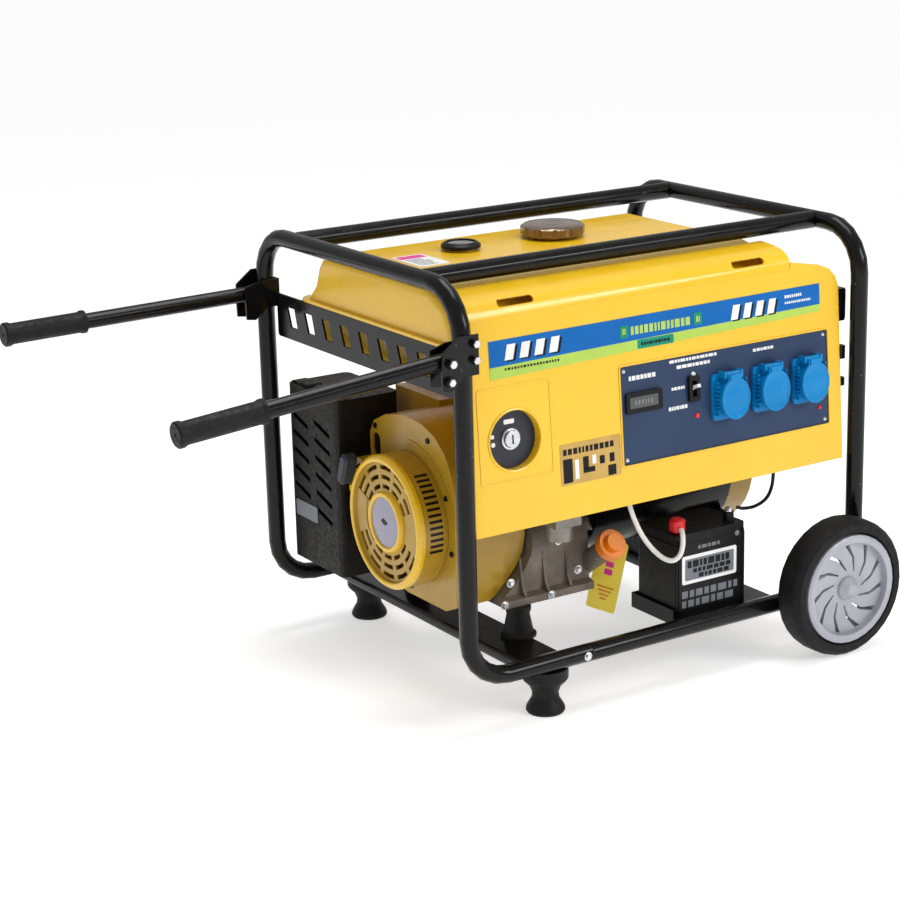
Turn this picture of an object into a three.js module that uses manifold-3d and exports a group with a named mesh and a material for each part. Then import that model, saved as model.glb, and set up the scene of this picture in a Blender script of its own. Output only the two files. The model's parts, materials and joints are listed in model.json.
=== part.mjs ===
// Open-frame portable generator on two wheels and two rubber feet, with two folding lift handles.
// Millimetres, +Z up. X runs along the set, from the engine end (-X) to the alternator end (+X).
// The control panel is on the -Y side. The model is built around the middle of the frame, with
// z = 0 on the floor, and is moved at the end so that the origin is under the middle of its box.
import * as THREE from 'three';
import { mergeVertices } from 'three/addons/utils/BufferGeometryUtils.js';
import Module from 'manifold-3d';

const wasm = await Module();
wasm.setup();

// ---- driving dimensions -------------------------------------------------------------------

const GAP = 0.3;                 // clearance between pieces that touch
const BITE = 1;                  // how far joined solids reach into each other

const FRAME_LENGTH = 660;        // spacing of the two end hoops, tube centre to tube centre
const FRAME_WIDTH = 520;         // spacing of the legs across the set
const RAIL_SPACING = 332;        // spacing of the two top rails
const TUBE_R = 12.5;
const TUBE_WALL = 2;
const LOWER_Z = 80;              // centre line of the bottom tubes
const UPPER_Z = 600;             // centre line of the top tubes
const TOP_BEND = 65;
const FOOT_BEND = 58;
const JOIN_X = -140;             // where the bottom tubes of the two hoops meet

const WHEEL_X = 271;
const WHEEL_R = 100;
const TYRE_WIDTH = 47;
const WHEEL_INNER_Y = 275;       // inner face of each tyre, from the middle of the set
const RIM_R = 79;
const AXLE_R = 7;

const FOOT_X = -193;
const FOOT_Y = 233;
const FOOT_HEIGHT = 63.7;

const PIVOT_X = -357;            // handle pivot
const PIVOT_Z = 514;
const HANDLE_LENGTH = 372;       // pivot to the end of the grip
const GRIP_LENGTH = 118;
const HANDLE_R = 11;
const GRIP_R = 14.5;
const HANDLE_DROP = { panel_side: 5, rear_side: 1 };   // degrees below level at rest

const TANK_X = [-314, 216];
const TANK_TOP = 585;
const TANK_SEAM = 516;
const TANK_FLOOR = 446;
const TANK_WALL = 3;
const FILLER_X = 13;
const FILLER_Y = 31;
const FILLER_R = 24;
const NECK_TOP = TANK_TOP + 3;
const CAP_R = 46;
const GAUGE_X = -142;
const GAUGE_R = 28;

const COWL_X = [-314.5, 306];
const HOOD_END_X = 222;
const SHEET = 2.5;               // thickness of the pressed covers
const PANEL_Y = -260;            // front face of the cowl at its bottom edge
const PANEL_Z = 273;             // bottom edge of the cowl
const PANEL_TOP_Z = 552;         // where the flat front turns into the hood
const PANEL_TILT = THREE.MathUtils.degToRad(3.95);

const CONTROL_X = [-77, 283];
const CONTROL_Z = [327, 461];
const CONTROL_RECESS = 1;
const CONTROL_PLATE = 2.5;
const SOCKET_X = [101, 172, 243];
const SOCKET_Z = 394;
const SOCKET_HALF = [27, 30];    // half width and half height of the socket flange
const LID_HALF = [25, 28.5];
const RECESS_R = 19.5;
const KEY_X = -247;
const KEY_Z = 392;
const KEY_POCKET_R = 39;
const METER_X = -40;
const METER_Z = 410;
const BREAKER_X = 44;
const BREAKER_Z = 414;

const SHAFT_Y = -17.5;           // crankshaft line
const SHAFT_Z = 232.6;
const SHAFT_R = 15;
const RUNNING_GAP = 0.5;         // radial room around the crankshaft in its two end bores
const RECOIL_R = 94;
const RECOIL_X = [-309, -264];
const SHROUD_X = [-263.7, -150];
const FLYWHEEL_R = 72;
const CRANKCASE_X = [-204, -56];
const CASE_FRONT_X = -146;       // front wall of the crankcase, above its foot
const BASE_Z = 124;              // underside of the engine and alternator feet
const STATOR_R = 97;
const STATOR_X = [-55.5, 224];
const END_COVER_X = [224.3, 276];
const CYLINDER_TILT = THREE.MathUtils.degToRad(35);

const ENGINE_MEMBER_X = [-236, -167];
const ALTERNATOR_MEMBER_X = [152, 206];
const MEMBER_Z = [FOOT_HEIGHT + GAP, LOWER_Z];
const BATTERY_X = [24, 147];
const BATTERY_Y = [-240, -152];
const BATTERY_Z = [85, 204];

// ---- materials ----------------------------------------------------------------------------

const paint = (color, roughness, metalness) =>
  new THREE.MeshStandardMaterial({ color, roughness, metalness });

const BLACK_PAINT = paint(0x141415, 0.3, 0.2);
const YELLOW_PAINT = paint(0xf5c518, 0.3, 0.1);
const SHROUD_YELLOW = paint(0xd9a51a, 0.4, 0.1);
const SLATE_BLUE = paint(0x3a4f6e, 0.45, 0.1);
const SOCKET_BLUE = paint(0x0a86d6, 0.35, 0);
const CAST_GREY = paint(0x77726c, 0.6, 0.6);
const ALUMINIUM = paint(0xa9abad, 0.45, 0.8);
const STEEL = paint(0xb4b5b8, 0.3, 0.9);
const BRONZE_CHROME = paint(0x8d7a68, 0.3, 0.9);
const BLACK_PLASTIC = paint(0x1b1b1c, 0.5, 0);
const DARK_GREY = paint(0x3c4046, 0.5, 0);
const RUBBER = paint(0x17171a, 0.85, 0);
const TYRE_RUBBER = paint(0x1c1c1e, 0.9, 0);
const RIM_GREY = paint(0xb9babd, 0.5, 0.1);
const HOT_BLACK = paint(0x1d1b19, 0.7, 0.3);
const ORANGE = paint(0xf07a1c, 0.45, 0);
const TAG_YELLOW = paint(0xf2c12e, 0.6, 0);
const RED = paint(0xd9262b, 0.45, 0);
const WHITE_LEAD = paint(0xf1efec, 0.5, 0);

// ---- solids -------------------------------------------------------------------------------

// Signed volume of an indexed triangle mesh: negative when its faces point inwards.
function signedVolume(points, triangles) {
  let sum = 0;
  const corner = [new THREE.Vector3(), new THREE.Vector3(), new THREE.Vector3()];
  for (let i = 0; i < triangles.length; i += 3) {
    corner.forEach((v, k) => v.fromArray(points, 3 * triangles[i + k]));
    sum += corner[0].dot(corner[1].clone().cross(corner[2])) / 6;
  }
  return sum;
}

// Closed three.js geometry to a solid that can be joined and cut.
function solid(geometry) {
  const bare = geometry.clone();
  bare.deleteAttribute('normal');
  bare.deleteAttribute('uv');
  const merged = mergeVertices(bare, 1e-4);
  const points = Float32Array.from(merged.attributes.position.array);
  const kept = [];
  const index = merged.index.array;
  for (let i = 0; i < index.length; i += 3) {
    const [a, b, c] = [index[i], index[i + 1], index[i + 2]];
    if (a !== b && b !== c && c !== a) kept.push(a, b, c);
  }
  if (signedVolume(points, kept) < 0) {
    for (let i = 0; i < kept.length; i += 3) [kept[i], kept[i + 1]] = [kept[i + 1], kept[i]];
  }
  const mesh = new wasm.Mesh({ numProp: 3, vertProperties: points, triVerts: Uint32Array.from(kept) });
  return new wasm.Manifold(mesh);
}

const join = (...solids) => solids.flat().reduce((sum, next) => sum.add(next));
const cut = (body, ...tools) => tools.flat().reduce((rest, tool) => rest.subtract(tool), body);

// Solid back to a three.js geometry.
function geometryOf(body) {
  const { vertProperties, triVerts } = body.getMesh();
  const geometry = new THREE.BufferGeometry();
  geometry.setAttribute('position', new THREE.BufferAttribute(vertProperties, 3));
  geometry.setIndex(new THREE.BufferAttribute(triVerts, 1));
  return geometry;
}

const X_AXIS = new THREE.Vector3(1, 0, 0);
const Y_AXIS = new THREE.Vector3(0, 1, 0);
const Z_AXIS = new THREE.Vector3(0, 0, 1);

// A section is drawn in (y, z) for an X sweep, in (x, z) for a Y sweep and in (x, y) for a Z sweep.
const SWEEP = {
  x: new THREE.Matrix4().makeBasis(Y_AXIS, Z_AXIS, X_AXIS),
  y: new THREE.Matrix4().makeBasis(X_AXIS, Z_AXIS, Y_AXIS.clone().negate()),
  z: new THREE.Matrix4(),
};

const outlineOf = (points) => points.map(([a, b]) => new THREE.Vector2(a, b));

function shapeOf(outline, holes = []) {
  const shape = new THREE.Shape(outlineOf(outline));
  shape.holes = holes.map((hole) => new THREE.Path(outlineOf(hole)));
  return shape;
}

// Outline swept along an axis from one place to another, with optional holes and rounded ends.
function prism(axis, outline, from, to, { holes = [], round = 0, steps = 2 } = {}) {
  const geometry = new THREE.ExtrudeGeometry(shapeOf(outline, holes), {
    depth: to - from - 2 * round,
    bevelEnabled: round > 0,
    bevelThickness: round,
    bevelSize: round,
    bevelOffset: -round,
    bevelSegments: steps,
  });
  geometry.applyMatrix4(SWEEP[axis]);
  const start = { x: [from + round, 0, 0], y: [0, to - round, 0], z: [0, 0, from + round] }[axis];
  return solid(geometry.translate(...start));
}

function box([x0, x1], [y0, y1], [z0, z1]) {
  const geometry = new THREE.BoxGeometry(x1 - x0, y1 - y0, z1 - z0);
  return solid(geometry.translate((x0 + x1) / 2, (y0 + y1) / 2, (z0 + z1) / 2));
}

// Polygon points round an ellipse, first point on the first axis.
function ellipse([a, b], [ra, rb], sides) {
  return Array.from({ length: sides }, (_, i) => {
    const angle = (2 * Math.PI * i) / sides;
    return [a + ra * Math.cos(angle), b + rb * Math.sin(angle)];
  });
}
const circle = (centre, r, sides = 24) => ellipse(centre, [r, r], sides);

const disc = (axis, centre, r, from, to, sides = 24) => prism(axis, circle(centre, r, sides), from, to);

// Rectangle with round corners.
function roundedRect([a0, a1], [b0, b1], r, steps = 3) {
  const corners = [[a1 - r, b1 - r, 0], [a0 + r, b1 - r, 1], [a0 + r, b0 + r, 2], [a1 - r, b0 + r, 3]];
  return corners.flatMap(([a, b, quarter]) =>
    Array.from({ length: steps + 1 }, (_, i) => {
      const angle = (Math.PI / 2) * (quarter + i / steps);
      return [a + r * Math.cos(angle), b + r * Math.sin(angle)];
    }));
}

// Profile of (radius, distance along the axis) turned about a line through centre.
const TURN = {
  x: (g) => g.rotateZ(-Math.PI / 2),
  y: (g) => g,
  z: (g) => g.rotateX(Math.PI / 2),
};
function turned(axis, centre, profile, sides = 32) {
  const closed = profile[0][0] === 0 ? profile : [...profile, profile[0]];
  const geometry = TURN[axis](new THREE.LatheGeometry(outlineOf(closed), sides));
  return solid(geometry.translate(...centre));
}

// Skin over a row of (y, z) outlines with the same number of corners, each at its own x.
function loft(sections) {
  const count = sections[0][1].length;
  const points = sections.flatMap(([x, outline]) => outline.flatMap(([y, z]) => [x, y, z]));
  const faces = [];
  for (let i = 0; i + 1 < sections.length; i += 1) {
    for (let k = 0; k < count; k += 1) {
      const [a, b] = [i * count + k, i * count + ((k + 1) % count)];
      faces.push(a, b, b + count, a, b + count, a + count);
    }
  }
  const last = (sections.length - 1) * count;
  const area = (p, q, r) => (q.x - p.x) * (r.y - p.y) - (q.y - p.y) * (r.x - p.x);
  for (const [start, flip] of [[0, true], [last, false]]) {
    const outline = outlineOf(sections[start / count][1]);
    for (const [a, b, c] of THREE.ShapeUtils.triangulateShape(outline, [])) {
      const backwards = area(outline[a], outline[b], outline[c]) < 0;
      if (backwards === flip) faces.push(start + a, start + b, start + c);
      else faces.push(start + a, start + c, start + b);
    }
  }
  const geometry = new THREE.BufferGeometry();
  geometry.setAttribute('position', new THREE.Float32BufferAttribute(points, 3));
  geometry.setIndex(faces);
  return solid(geometry);
}

// A path of straight runs joined by round bends, with one step for each run and a few for each bend.
class BentPath extends THREE.Curve {
  constructor(corners, radii, steps = 5) {
    super();
    const points = corners.map((c) => new THREE.Vector3(...c));
    this.knots = [points[0]];
    for (let i = 1; i < points.length - 1; i += 1) {
      this.knots.push(...BentPath.bend(points[i - 1], points[i], points[i + 1], radii[i - 1], steps));
    }
    this.knots.push(points[points.length - 1]);
  }

  static bend(before, corner, after, radius, steps) {
    const back = before.clone().sub(corner).normalize();
    const on = after.clone().sub(corner).normalize();
    const half = back.angleTo(on) / 2;
    const reach = radius / Math.tan(half);
    const centre = back.clone().add(on).setLength(radius / Math.sin(half)).add(corner);
    const first = corner.clone().addScaledVector(back, reach).sub(centre);
    const last = corner.clone().addScaledVector(on, reach).sub(centre);
    const sweep = Math.PI - 2 * half;
    return Array.from({ length: steps + 1 }, (_, i) => {
      const t = i / steps;
      return centre.clone()
        .addScaledVector(first, Math.sin((1 - t) * sweep) / Math.sin(sweep))
        .addScaledVector(last, Math.sin(t * sweep) / Math.sin(sweep));
    });
  }

  get runs() {
    return this.knots.length - 1;
  }

  getUtoTmapping(u) {
    return u;
  }

  getPoint(t, target = new THREE.Vector3()) {
    const place = Math.min(t, 1) * this.runs;
    const i = Math.min(Math.floor(place + 1e-9), this.runs - 1);
    return target.copy(this.knots[i]).lerp(this.knots[i + 1], place - i);
  }

  direction(i) {
    const at = Math.max(0, Math.min(i, this.runs - 1));
    return this.knots[at + 1].clone().sub(this.knots[at]).normalize();
  }

  getTangent(t, target = new THREE.Vector3()) {
    const i = Math.round(t * this.runs);
    return target.copy(this.direction(i - 1)).add(this.direction(i)).normalize();
  }
}

function sweptSection(outer, inner, path, steps, sides) {
  const holes = inner > 0 ? [circle([0, 0], inner, sides - 4)] : [];
  const shape = shapeOf(circle([0, 0], outer, sides), holes);
  return solid(new THREE.ExtrudeGeometry(shape, { extrudePath: path, steps }));
}

function bentTube(corners, radii, outer = TUBE_R, inner = TUBE_R - TUBE_WALL, sides = 12) {
  const path = new BentPath(corners, radii);
  return sweptSection(outer, inner, path, path.runs, sides);
}

// A flexible lead through hand-placed points.
function lead(points, r, steps = 26) {
  const path = new THREE.CatmullRomCurve3(points.map((p) => new THREE.Vector3(...p)));
  return sweptSection(r, 0, path, steps, 8);
}

const moved = (body, matrix) => {
  const geometry = geometryOf(body);
  return solid(geometry.applyMatrix4(matrix));
};

// ---- the model ----------------------------------------------------------------------------

const generator = new THREE.Group();

function part(name, body, material, parent = generator) {
  const mesh = new THREE.Mesh(geometryOf(body), material);
  mesh.name = name;
  parent.add(mesh);
}

const SIDES = [['panel_side', -1], ['rear_side', 1]];
const HALF_LENGTH = FRAME_LENGTH / 2;
const HALF_WIDTH = FRAME_WIDTH / 2;

// Each end hoop is one bent tube: bottom tube, leg, top cross tube, leg, bottom tube.
function hoop(endX, joinX) {
  const y = HALF_WIDTH;
  const corners = [
    [joinX, -y, LOWER_Z], [endX, -y, LOWER_Z], [endX, -y, UPPER_Z],
    [endX, y, UPPER_Z], [endX, y, LOWER_Z], [joinX, y, LOWER_Z],
  ];
  return bentTube(corners, [FOOT_BEND, TOP_BEND, TOP_BEND, FOOT_BEND]);
}

const between = (a, b) => [Math.min(a, b), Math.max(a, b)];

// Lug welded on each wheel-end bottom tube, with the stub axle and its end washer.
function stubAxle(side) {
  const lug = roundedRect([WHEEL_X - 20, WHEEL_X + 20], [LOWER_Z - 8, WHEEL_R + 17], 12);
  const plate = prism('y', lug, ...between(side * (HALF_WIDTH + 6), side * (HALF_WIDTH + TUBE_R - 1)));
  const pin = disc('y', [WHEEL_X, WHEEL_R], AXLE_R,
    ...between(side * (HALF_WIDTH + 7), side * (WHEEL_INNER_Y + TYRE_WIDTH - 2)), 20);
  return join(plate, pin);
}

function addFrame() {
  part('engine_end_hoop', hoop(-HALF_LENGTH, JOIN_X - GAP / 2), BLACK_PAINT);
  const wheelEnd = join(hoop(HALF_LENGTH, JOIN_X + GAP / 2), stubAxle(-1), stubAxle(1));
  part('wheel_end_hoop', wheelEnd, BLACK_PAINT);

  const saddles = [-HALF_LENGTH, HALF_LENGTH].map((x) =>
    disc('y', [x, UPPER_Z], TUBE_R + GAP, -HALF_WIDTH, HALF_WIDTH, 24));
  for (const [side, sign] of SIDES) {
    const y = (sign * RAIL_SPACING) / 2;
    const reach = HALF_LENGTH - 4;
    const section = { holes: [circle([y, UPPER_Z], TUBE_R - TUBE_WALL, 10)] };
    const rail = prism('x', circle([y, UPPER_Z], TUBE_R, 14), -reach, reach, section);
    part(`top_rail_${side}`, cut(rail, saddles), BLACK_PAINT);
  }
}

// Box-section member across the frame, between the bottom tubes.
function crossMember([x0, x1], wall = 3) {
  const outline = roundedRect([x0, x1], MEMBER_Z, 5, 2);
  const inside = roundedRect([x0 + wall, x1 - wall], [MEMBER_Z[0] + wall, MEMBER_Z[1] - wall], 2, 1);
  const reach = HALF_WIDTH - TUBE_R + 3;
  const tubes = SIDES.map(([, sign]) =>
    disc('x', [sign * HALF_WIDTH, LOWER_Z], TUBE_R + GAP, x0 - 1, x1 + 1, 24));
  return cut(prism('y', outline, -reach, reach, { holes: [inside] }), tubes);
}

function addCrossMembers() {
  part('engine_cross_member', crossMember(ENGINE_MEMBER_X), BLACK_PAINT);

  const trayX = [BATTERY_X[0] - 5, ALTERNATOR_MEMBER_X[0] + 24];
  const trayY = [-HALF_WIDTH + TUBE_R + GAP, BATTERY_Y[1] + 8];
  const trayTop = BATTERY_Z[0] - GAP;
  const tray = box(trayX, trayY, [trayTop - 8, trayTop]);
  const backLip = box([trayX[0], BATTERY_X[1]], [trayY[1] - 3, trayY[1]], [trayTop - 1, trayTop + 14]);
  const endLip = box([trayX[0], trayX[0] + 3], [BATTERY_Y[0], trayY[1]], [trayTop - 1, trayTop + 14]);
  const member = join(crossMember(ALTERNATOR_MEMBER_X), tray, backLip, endLip);
  part('alternator_cross_member', member, BLACK_PAINT);
}

// Bell-shaped rubber foot, open underneath.
function addFeet() {
  const profile = [
    [9, 0], [25, 0], [27, 3], [26, 8], [19, 20], [18, 28], [22, 38], [30, 46], [32, 50], [32, FOOT_HEIGHT],
    [12, FOOT_HEIGHT], [12, 34], [9, 30],
  ];
  for (const [side, sign] of SIDES) {
    const foot = turned('z', [FOOT_X, sign * FOOT_Y, 0], profile, 24);
    part(`foot_${side}`, foot, RUBBER);
  }
}

// ---- wheels -------------------------------------------------------------------------------

const RIM_HUB_R = 17;
const SLOT_COUNT = 11;

// One slanted slot between two spokes, as an outline in (x, z) about the wheel centre.
function spokeSlot(index) {
  const spread = (2 * Math.PI) / SLOT_COUNT;
  const angleAt = (r) => index * spread + 0.5 * ((r - 30) / 40);
  const edges = [26, 45, RIM_R - 13];
  const low = edges.map((r) => [r, angleAt(r) - 0.04]);
  const high = edges.map((r) => [r, angleAt(r) + 0.04 + 0.001 * (r - 26)]).reverse();
  return [...low, ...high].map(([r, a]) => [WHEEL_X + r * Math.cos(a), WHEEL_R + r * Math.sin(a)]);
}

function addWheels() {
  const half = TYRE_WIDTH / 2;
  const tread = [
    [RIM_R + GAP, -half + 6], [RIM_R + 4, -half], [WHEEL_R - 7, -half], [WHEEL_R - 1.5, -half + 6],
    [WHEEL_R, -half + 13], [WHEEL_R, half - 13], [WHEEL_R - 1.5, half - 6], [WHEEL_R - 7, half],
    [RIM_R + 4, half], [RIM_R + GAP, half - 6],
  ];
  const band = [
    [RIM_R - 5, -half + 2], [RIM_R, -half + 2], [RIM_R, half], [RIM_R - 4, half + 2], [RIM_R - 11, half + 1],
    [RIM_R - 12, half - 15], [RIM_R - 5, half - 18],
  ];
  const bore = AXLE_R + 0.4;
  const hub = [
    [bore, -half], [RIM_HUB_R, -half], [RIM_HUB_R, half - 5], [11, half + 1], [8, half + 4], [0, half + 5],
    [0, half - 1.4], [bore, half - 1.4],
  ];
  const slots = Array.from({ length: SLOT_COUNT }, (_, i) => spokeSlot(i));
  for (const [side, sign] of SIDES) {
    const centreY = sign * (WHEEL_INNER_Y + half);
    const centre = [WHEEL_X, centreY, WHEEL_R];
    const facing = (profile) => profile.map(([r, y]) => [r, sign * y]);
    part(`tyre_${side}`, turned('y', centre, facing(tread), 32), TYRE_RUBBER);

    const outer = centreY + sign * (half - 8);
    const eye = circle([WHEEL_X, WHEEL_R], RIM_HUB_R - 3, 20);
    const web = prism('y', circle([WHEEL_X, WHEEL_R], RIM_R - 8, 32),
      ...between(outer, outer - sign * 7), { holes: [...slots, eye] });
    const rim = join(turned('y', centre, facing(band), 32), web, turned('y', centre, facing(hub), 20));
    part(`rim_${side}`, rim, RIM_GREY);
  }
}

// ---- folding handles ----------------------------------------------------------------------

const PIVOT_BOLT_R = 4;
const BEND_START_Z = UPPER_Z - TOP_BEND;

function addHandles() {
  const legX = -HALF_LENGTH;
  for (const [side, sign] of SIDES) {
    const y = sign * HALF_WIDTH;
    const cheek = TUBE_R + GAP;
    const backX = legX + cheek + 2;
    const outline = (top) => [
      [backX, PIVOT_Z - 20], [backX, top], [legX - 14, top],
      [PIVOT_X - 12, PIVOT_Z + 13], [PIVOT_X - 13, PIVOT_Z - 6], [PIVOT_X - 12, PIVOT_Z - 34],
      [PIVOT_X + 2, PIVOT_Z - 36], [legX - 6, PIVOT_Z - 20],
    ];
    // The inner plate stops short of the bend of the hoop; the outer one stands higher.
    const plates = [-1, 1].map((s) => prism('y', outline(s === sign ? PIVOT_Z + 32 : BEND_START_Z - 1),
      ...between(y + s * cheek, y + s * (cheek + 3))));
    const bridge = box([backX - 2, backX], [y - cheek - 1, y + cheek + 1], [PIVOT_Z - 20, BEND_START_Z - 1]);
    const outerFace = y + sign * (cheek + 2);
    const head = (x, z, r, sides) => disc('y', [x, z], r, ...between(outerFace, outerFace + sign * 7), sides);
    const heads = [
      head(legX + 8, PIVOT_Z + 21, 6, 6), head(legX + 8, PIVOT_Z, 6, 6),
      head(PIVOT_X, PIVOT_Z, 7, 6), head(PIVOT_X - 2, PIVOT_Z - 23, 7, 16),
    ];
    const bolt = disc('y', [PIVOT_X, PIVOT_Z], PIVOT_BOLT_R, y - cheek - 1, y + cheek + 1, 16);
    part(`handle_bracket_${side}`, join(plates, bridge, heads, bolt), BLACK_PAINT);

    // The handle is drawn level, pointing to -X from its pivot, then turned down to its rest angle.
    const tubeStart = 7;
    const tubeEnd = HANDLE_LENGTH - 6;
    const barrel = prism('x', circle([0, 0], HANDLE_R, 16), -tubeEnd, tubeStart,
      { holes: [circle([0, 0], HANDLE_R - TUBE_WALL, 12)] });
    const pivotHole = disc('y', [0, 0], PIVOT_BOLT_R + 0.5, -20, 20, 16);
    const gripStart = HANDLE_LENGTH - GRIP_LENGTH;
    const gripProfile = [
      [HANDLE_R + GAP, gripStart], [GRIP_R + 1.5, gripStart], [GRIP_R + 1.5, gripStart + 5],
      [GRIP_R, gripStart + 8], [GRIP_R, HANDLE_LENGTH - 12], [GRIP_R + 2, HANDLE_LENGTH - 8],
      [GRIP_R + 2, HANDLE_LENGTH - 2], [GRIP_R, HANDLE_LENGTH], [2, HANDLE_LENGTH],
      [2, tubeEnd + GAP], [HANDLE_R + GAP, tubeEnd + GAP],
    ];
    const grip = turned('x', [0, 0, 0], gripProfile.map(([r, s]) => [r, -s]), 20);
    const handle = new THREE.Group();
    handle.position.set(PIVOT_X, y, PIVOT_Z);
    handle.rotation.y = -THREE.MathUtils.degToRad(HANDLE_DROP[side]);
    generator.add(handle);
    part(`handle_tube_${side}`, cut(barrel, pivotHole), BLACK_PAINT, handle);
    part(`handle_grip_${side}`, grip, RUBBER, handle);
  }
}

// ---- fuel tank ----------------------------------------------------------------------------

// Section of the tank above its seam, from front to back over the top.
const TANK_UPPER = [
  [172, TANK_SEAM - 14], [-212, TANK_SEAM - 14], [-212, TANK_SEAM], [-211, 534], [-205, 552], [-193, 566],
  [-178, 576], [-164, 582], [-148, TANK_TOP],
  [112, TANK_TOP], [124, 580], [133, 570], [139, 555], [145, 540], [158, 527], [172, TANK_SEAM],
].reverse();
const TANK_LOWER = [
  [172, TANK_SEAM], [168, 480], [150, TANK_FLOOR + 6], [140, TANK_FLOOR],
  [-180, TANK_FLOOR], [-192, TANK_FLOOR + 6], [-205, 480], [-212, TANK_SEAM],
];

const PAN_STEP = 11;             // the lower pan is this much shorter than the upper shell at each end

// The tank section shrunk evenly by the wall thickness.
function inset(outline, by) {
  const mid = [-20, TANK_SEAM];
  const half = [192, 69];
  return outline.map((p) => p.map((v, k) => mid[k] + (v - mid[k]) * (1 - by / half[k])));
}

function addTank() {
  const [x0, x1] = TANK_X;
  const belowSeam = box([x0 - 1, x1 + 1], [-240, 200], [400, TANK_SEAM - 2]);
  const roundEnds = (grow, r, steps) => {
    const ends = Array.from({ length: steps + 1 }, (_, i) => {
      const angle = (Math.PI / 2) * (i / steps);
      return [r * (1 - Math.cos(angle)), grow + r * (1 - Math.sin(angle))];
    });
    const left = ends.map(([dx, by]) => [x0 + grow + dx, inset(TANK_UPPER, by)]);
    const right = ends.map(([dx, by]) => [x1 - grow - dx, inset(TANK_UPPER, by)]).reverse();
    return cut(loft([...left, ...right]), belowSeam);
  };
  const pan = (grow) => prism('x', inset(TANK_LOWER, grow), x0 + PAN_STEP + grow, x1 - PAN_STEP - grow);
  const outside = join(roundEnds(0, 12, 4), pan(0));
  const inside = join(roundEnds(TANK_WALL, 10, 2), pan(TANK_WALL));
  const flangeOutline = roundedRect([x0 - 7, x1 + 7], [-222, 182], 22, 4);
  const flange = prism('z', flangeOutline, TANK_SEAM - 2, TANK_SEAM + 2);
  const neck = disc('z', [FILLER_X, FILLER_Y], FILLER_R + 3, TANK_TOP - 5, NECK_TOP, 28);
  const gaugeSeat = disc('z', [GAUGE_X, FILLER_Y], GAUGE_R - 8, TANK_TOP - 5, TANK_TOP + 1.5, 20);
  const filler = disc('z', [FILLER_X, FILLER_Y], FILLER_R, TANK_TOP - 20, TANK_TOP + 10, 28);
  const shell = cut(join(outside, flange, neck, gaugeSeat), inside, filler);
  part('fuel_tank', shell, YELLOW_PAINT);

  const gauge = turned('z', [GAUGE_X, FILLER_Y, TANK_TOP + 1.5 + GAP], [
    [0, 0], [GAUGE_R - 6, 0], [GAUGE_R, 2], [GAUGE_R, 6], [GAUGE_R - 4, 9], [GAUGE_R - 8, 8], [0, 8],
  ], 28);
  part('fuel_gauge', gauge, BLACK_PLASTIC);

  const sealZ = NECK_TOP + GAP;
  const seal = turned('z', [FILLER_X, FILLER_Y, sealZ], [
    [FILLER_R - 1, 0], [FILLER_R + 5, 0], [FILLER_R + 5, 3], [FILLER_R - 1, 3],
  ], 28);
  part('fuel_cap_seal', seal, RUBBER);

  // Domed cap with a fluted skirt that reaches down round the seal, to just above the neck's rim.
  const capZ = sealZ + 3 + GAP;
  const inner = FILLER_R + 5.5;
  const crown = turned('z', [FILLER_X, FILLER_Y, capZ], [
    [0, 0], [inner, 0], [inner, -3], [CAP_R - 2, -3], [CAP_R, -1], [CAP_R, 9], [CAP_R - 4, 12],
    [CAP_R - 14, 13], [0, 13.5],
  ], 24);
  const flutes = Array.from({ length: 12 }, (_, i) => {
    const angle = (2 * Math.PI * i) / 12;
    const centre = [FILLER_X + (CAP_R + 1.5) * Math.cos(angle), FILLER_Y + (CAP_R + 1.5) * Math.sin(angle)];
    return disc('z', centre, 4, capZ - 4, capZ + 10, 8);
  });
  part('fuel_cap', cut(crown, flutes), BRONZE_CHROME);
}

// Slotted angle between the engine-end legs, which carries the tank's flange and screens it from heat.
function addTankSupports() {
  const top = TANK_SEAM - 2 - GAP;
  const reach = HALF_WIDTH - TUBE_R - 5;
  const faceX = -HALF_LENGTH + 9;
  const slots = Array.from({ length: 9 }, (_, i) => {
    const y = -200 + 50 * i;
    const outline = [[y - 16, top - 44], [y + 4, top - 44], [y + 14, top - 16], [y - 8, top - 16]];
    return prism('x', outline, faceX - 1, faceX + 4);
  });
  const face = cut(prism('x', roundedRect([-reach, reach], [top - 62, top], 3, 1), faceX, faceX + 3), slots);
  const shelf = box([faceX + 1, TANK_X[0] + PAN_STEP - 2], [-215, 176], [top - 3, top]);
  part('tank_support_engine_end', join(face, shelf), BLACK_PAINT);

  const farX = HALF_LENGTH - 9;
  const backFace = prism('x', roundedRect([-reach, reach], [top - 46, top], 3, 1), farX - 3, farX);
  const armX = [TANK_X[1] - PAN_STEP + 2, farX - 1];
  const arms = [-150, 120].map((y) => box(armX, [y - 16, y + 16], [top - 3, top]));
  const panelEar = box([COWL_X[1] + 1, farX - 1], [-reach, -reach + 20], [top - 46, top]);
  part('tank_support_wheel_end', join(backFace, arms, panelEar), BLACK_PAINT);
}

// ---- front cowl and control panel ---------------------------------------------------------

// The panel group's own frame: x along the set, y into the set, z up the sloping front face.
const panel = new THREE.Group();
panel.position.set(0, PANEL_Y, PANEL_Z);
panel.rotation.x = -PANEL_TILT;
generator.add(panel);
const upPanel = (z) => (z - PANEL_Z) / Math.cos(PANEL_TILT);

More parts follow.
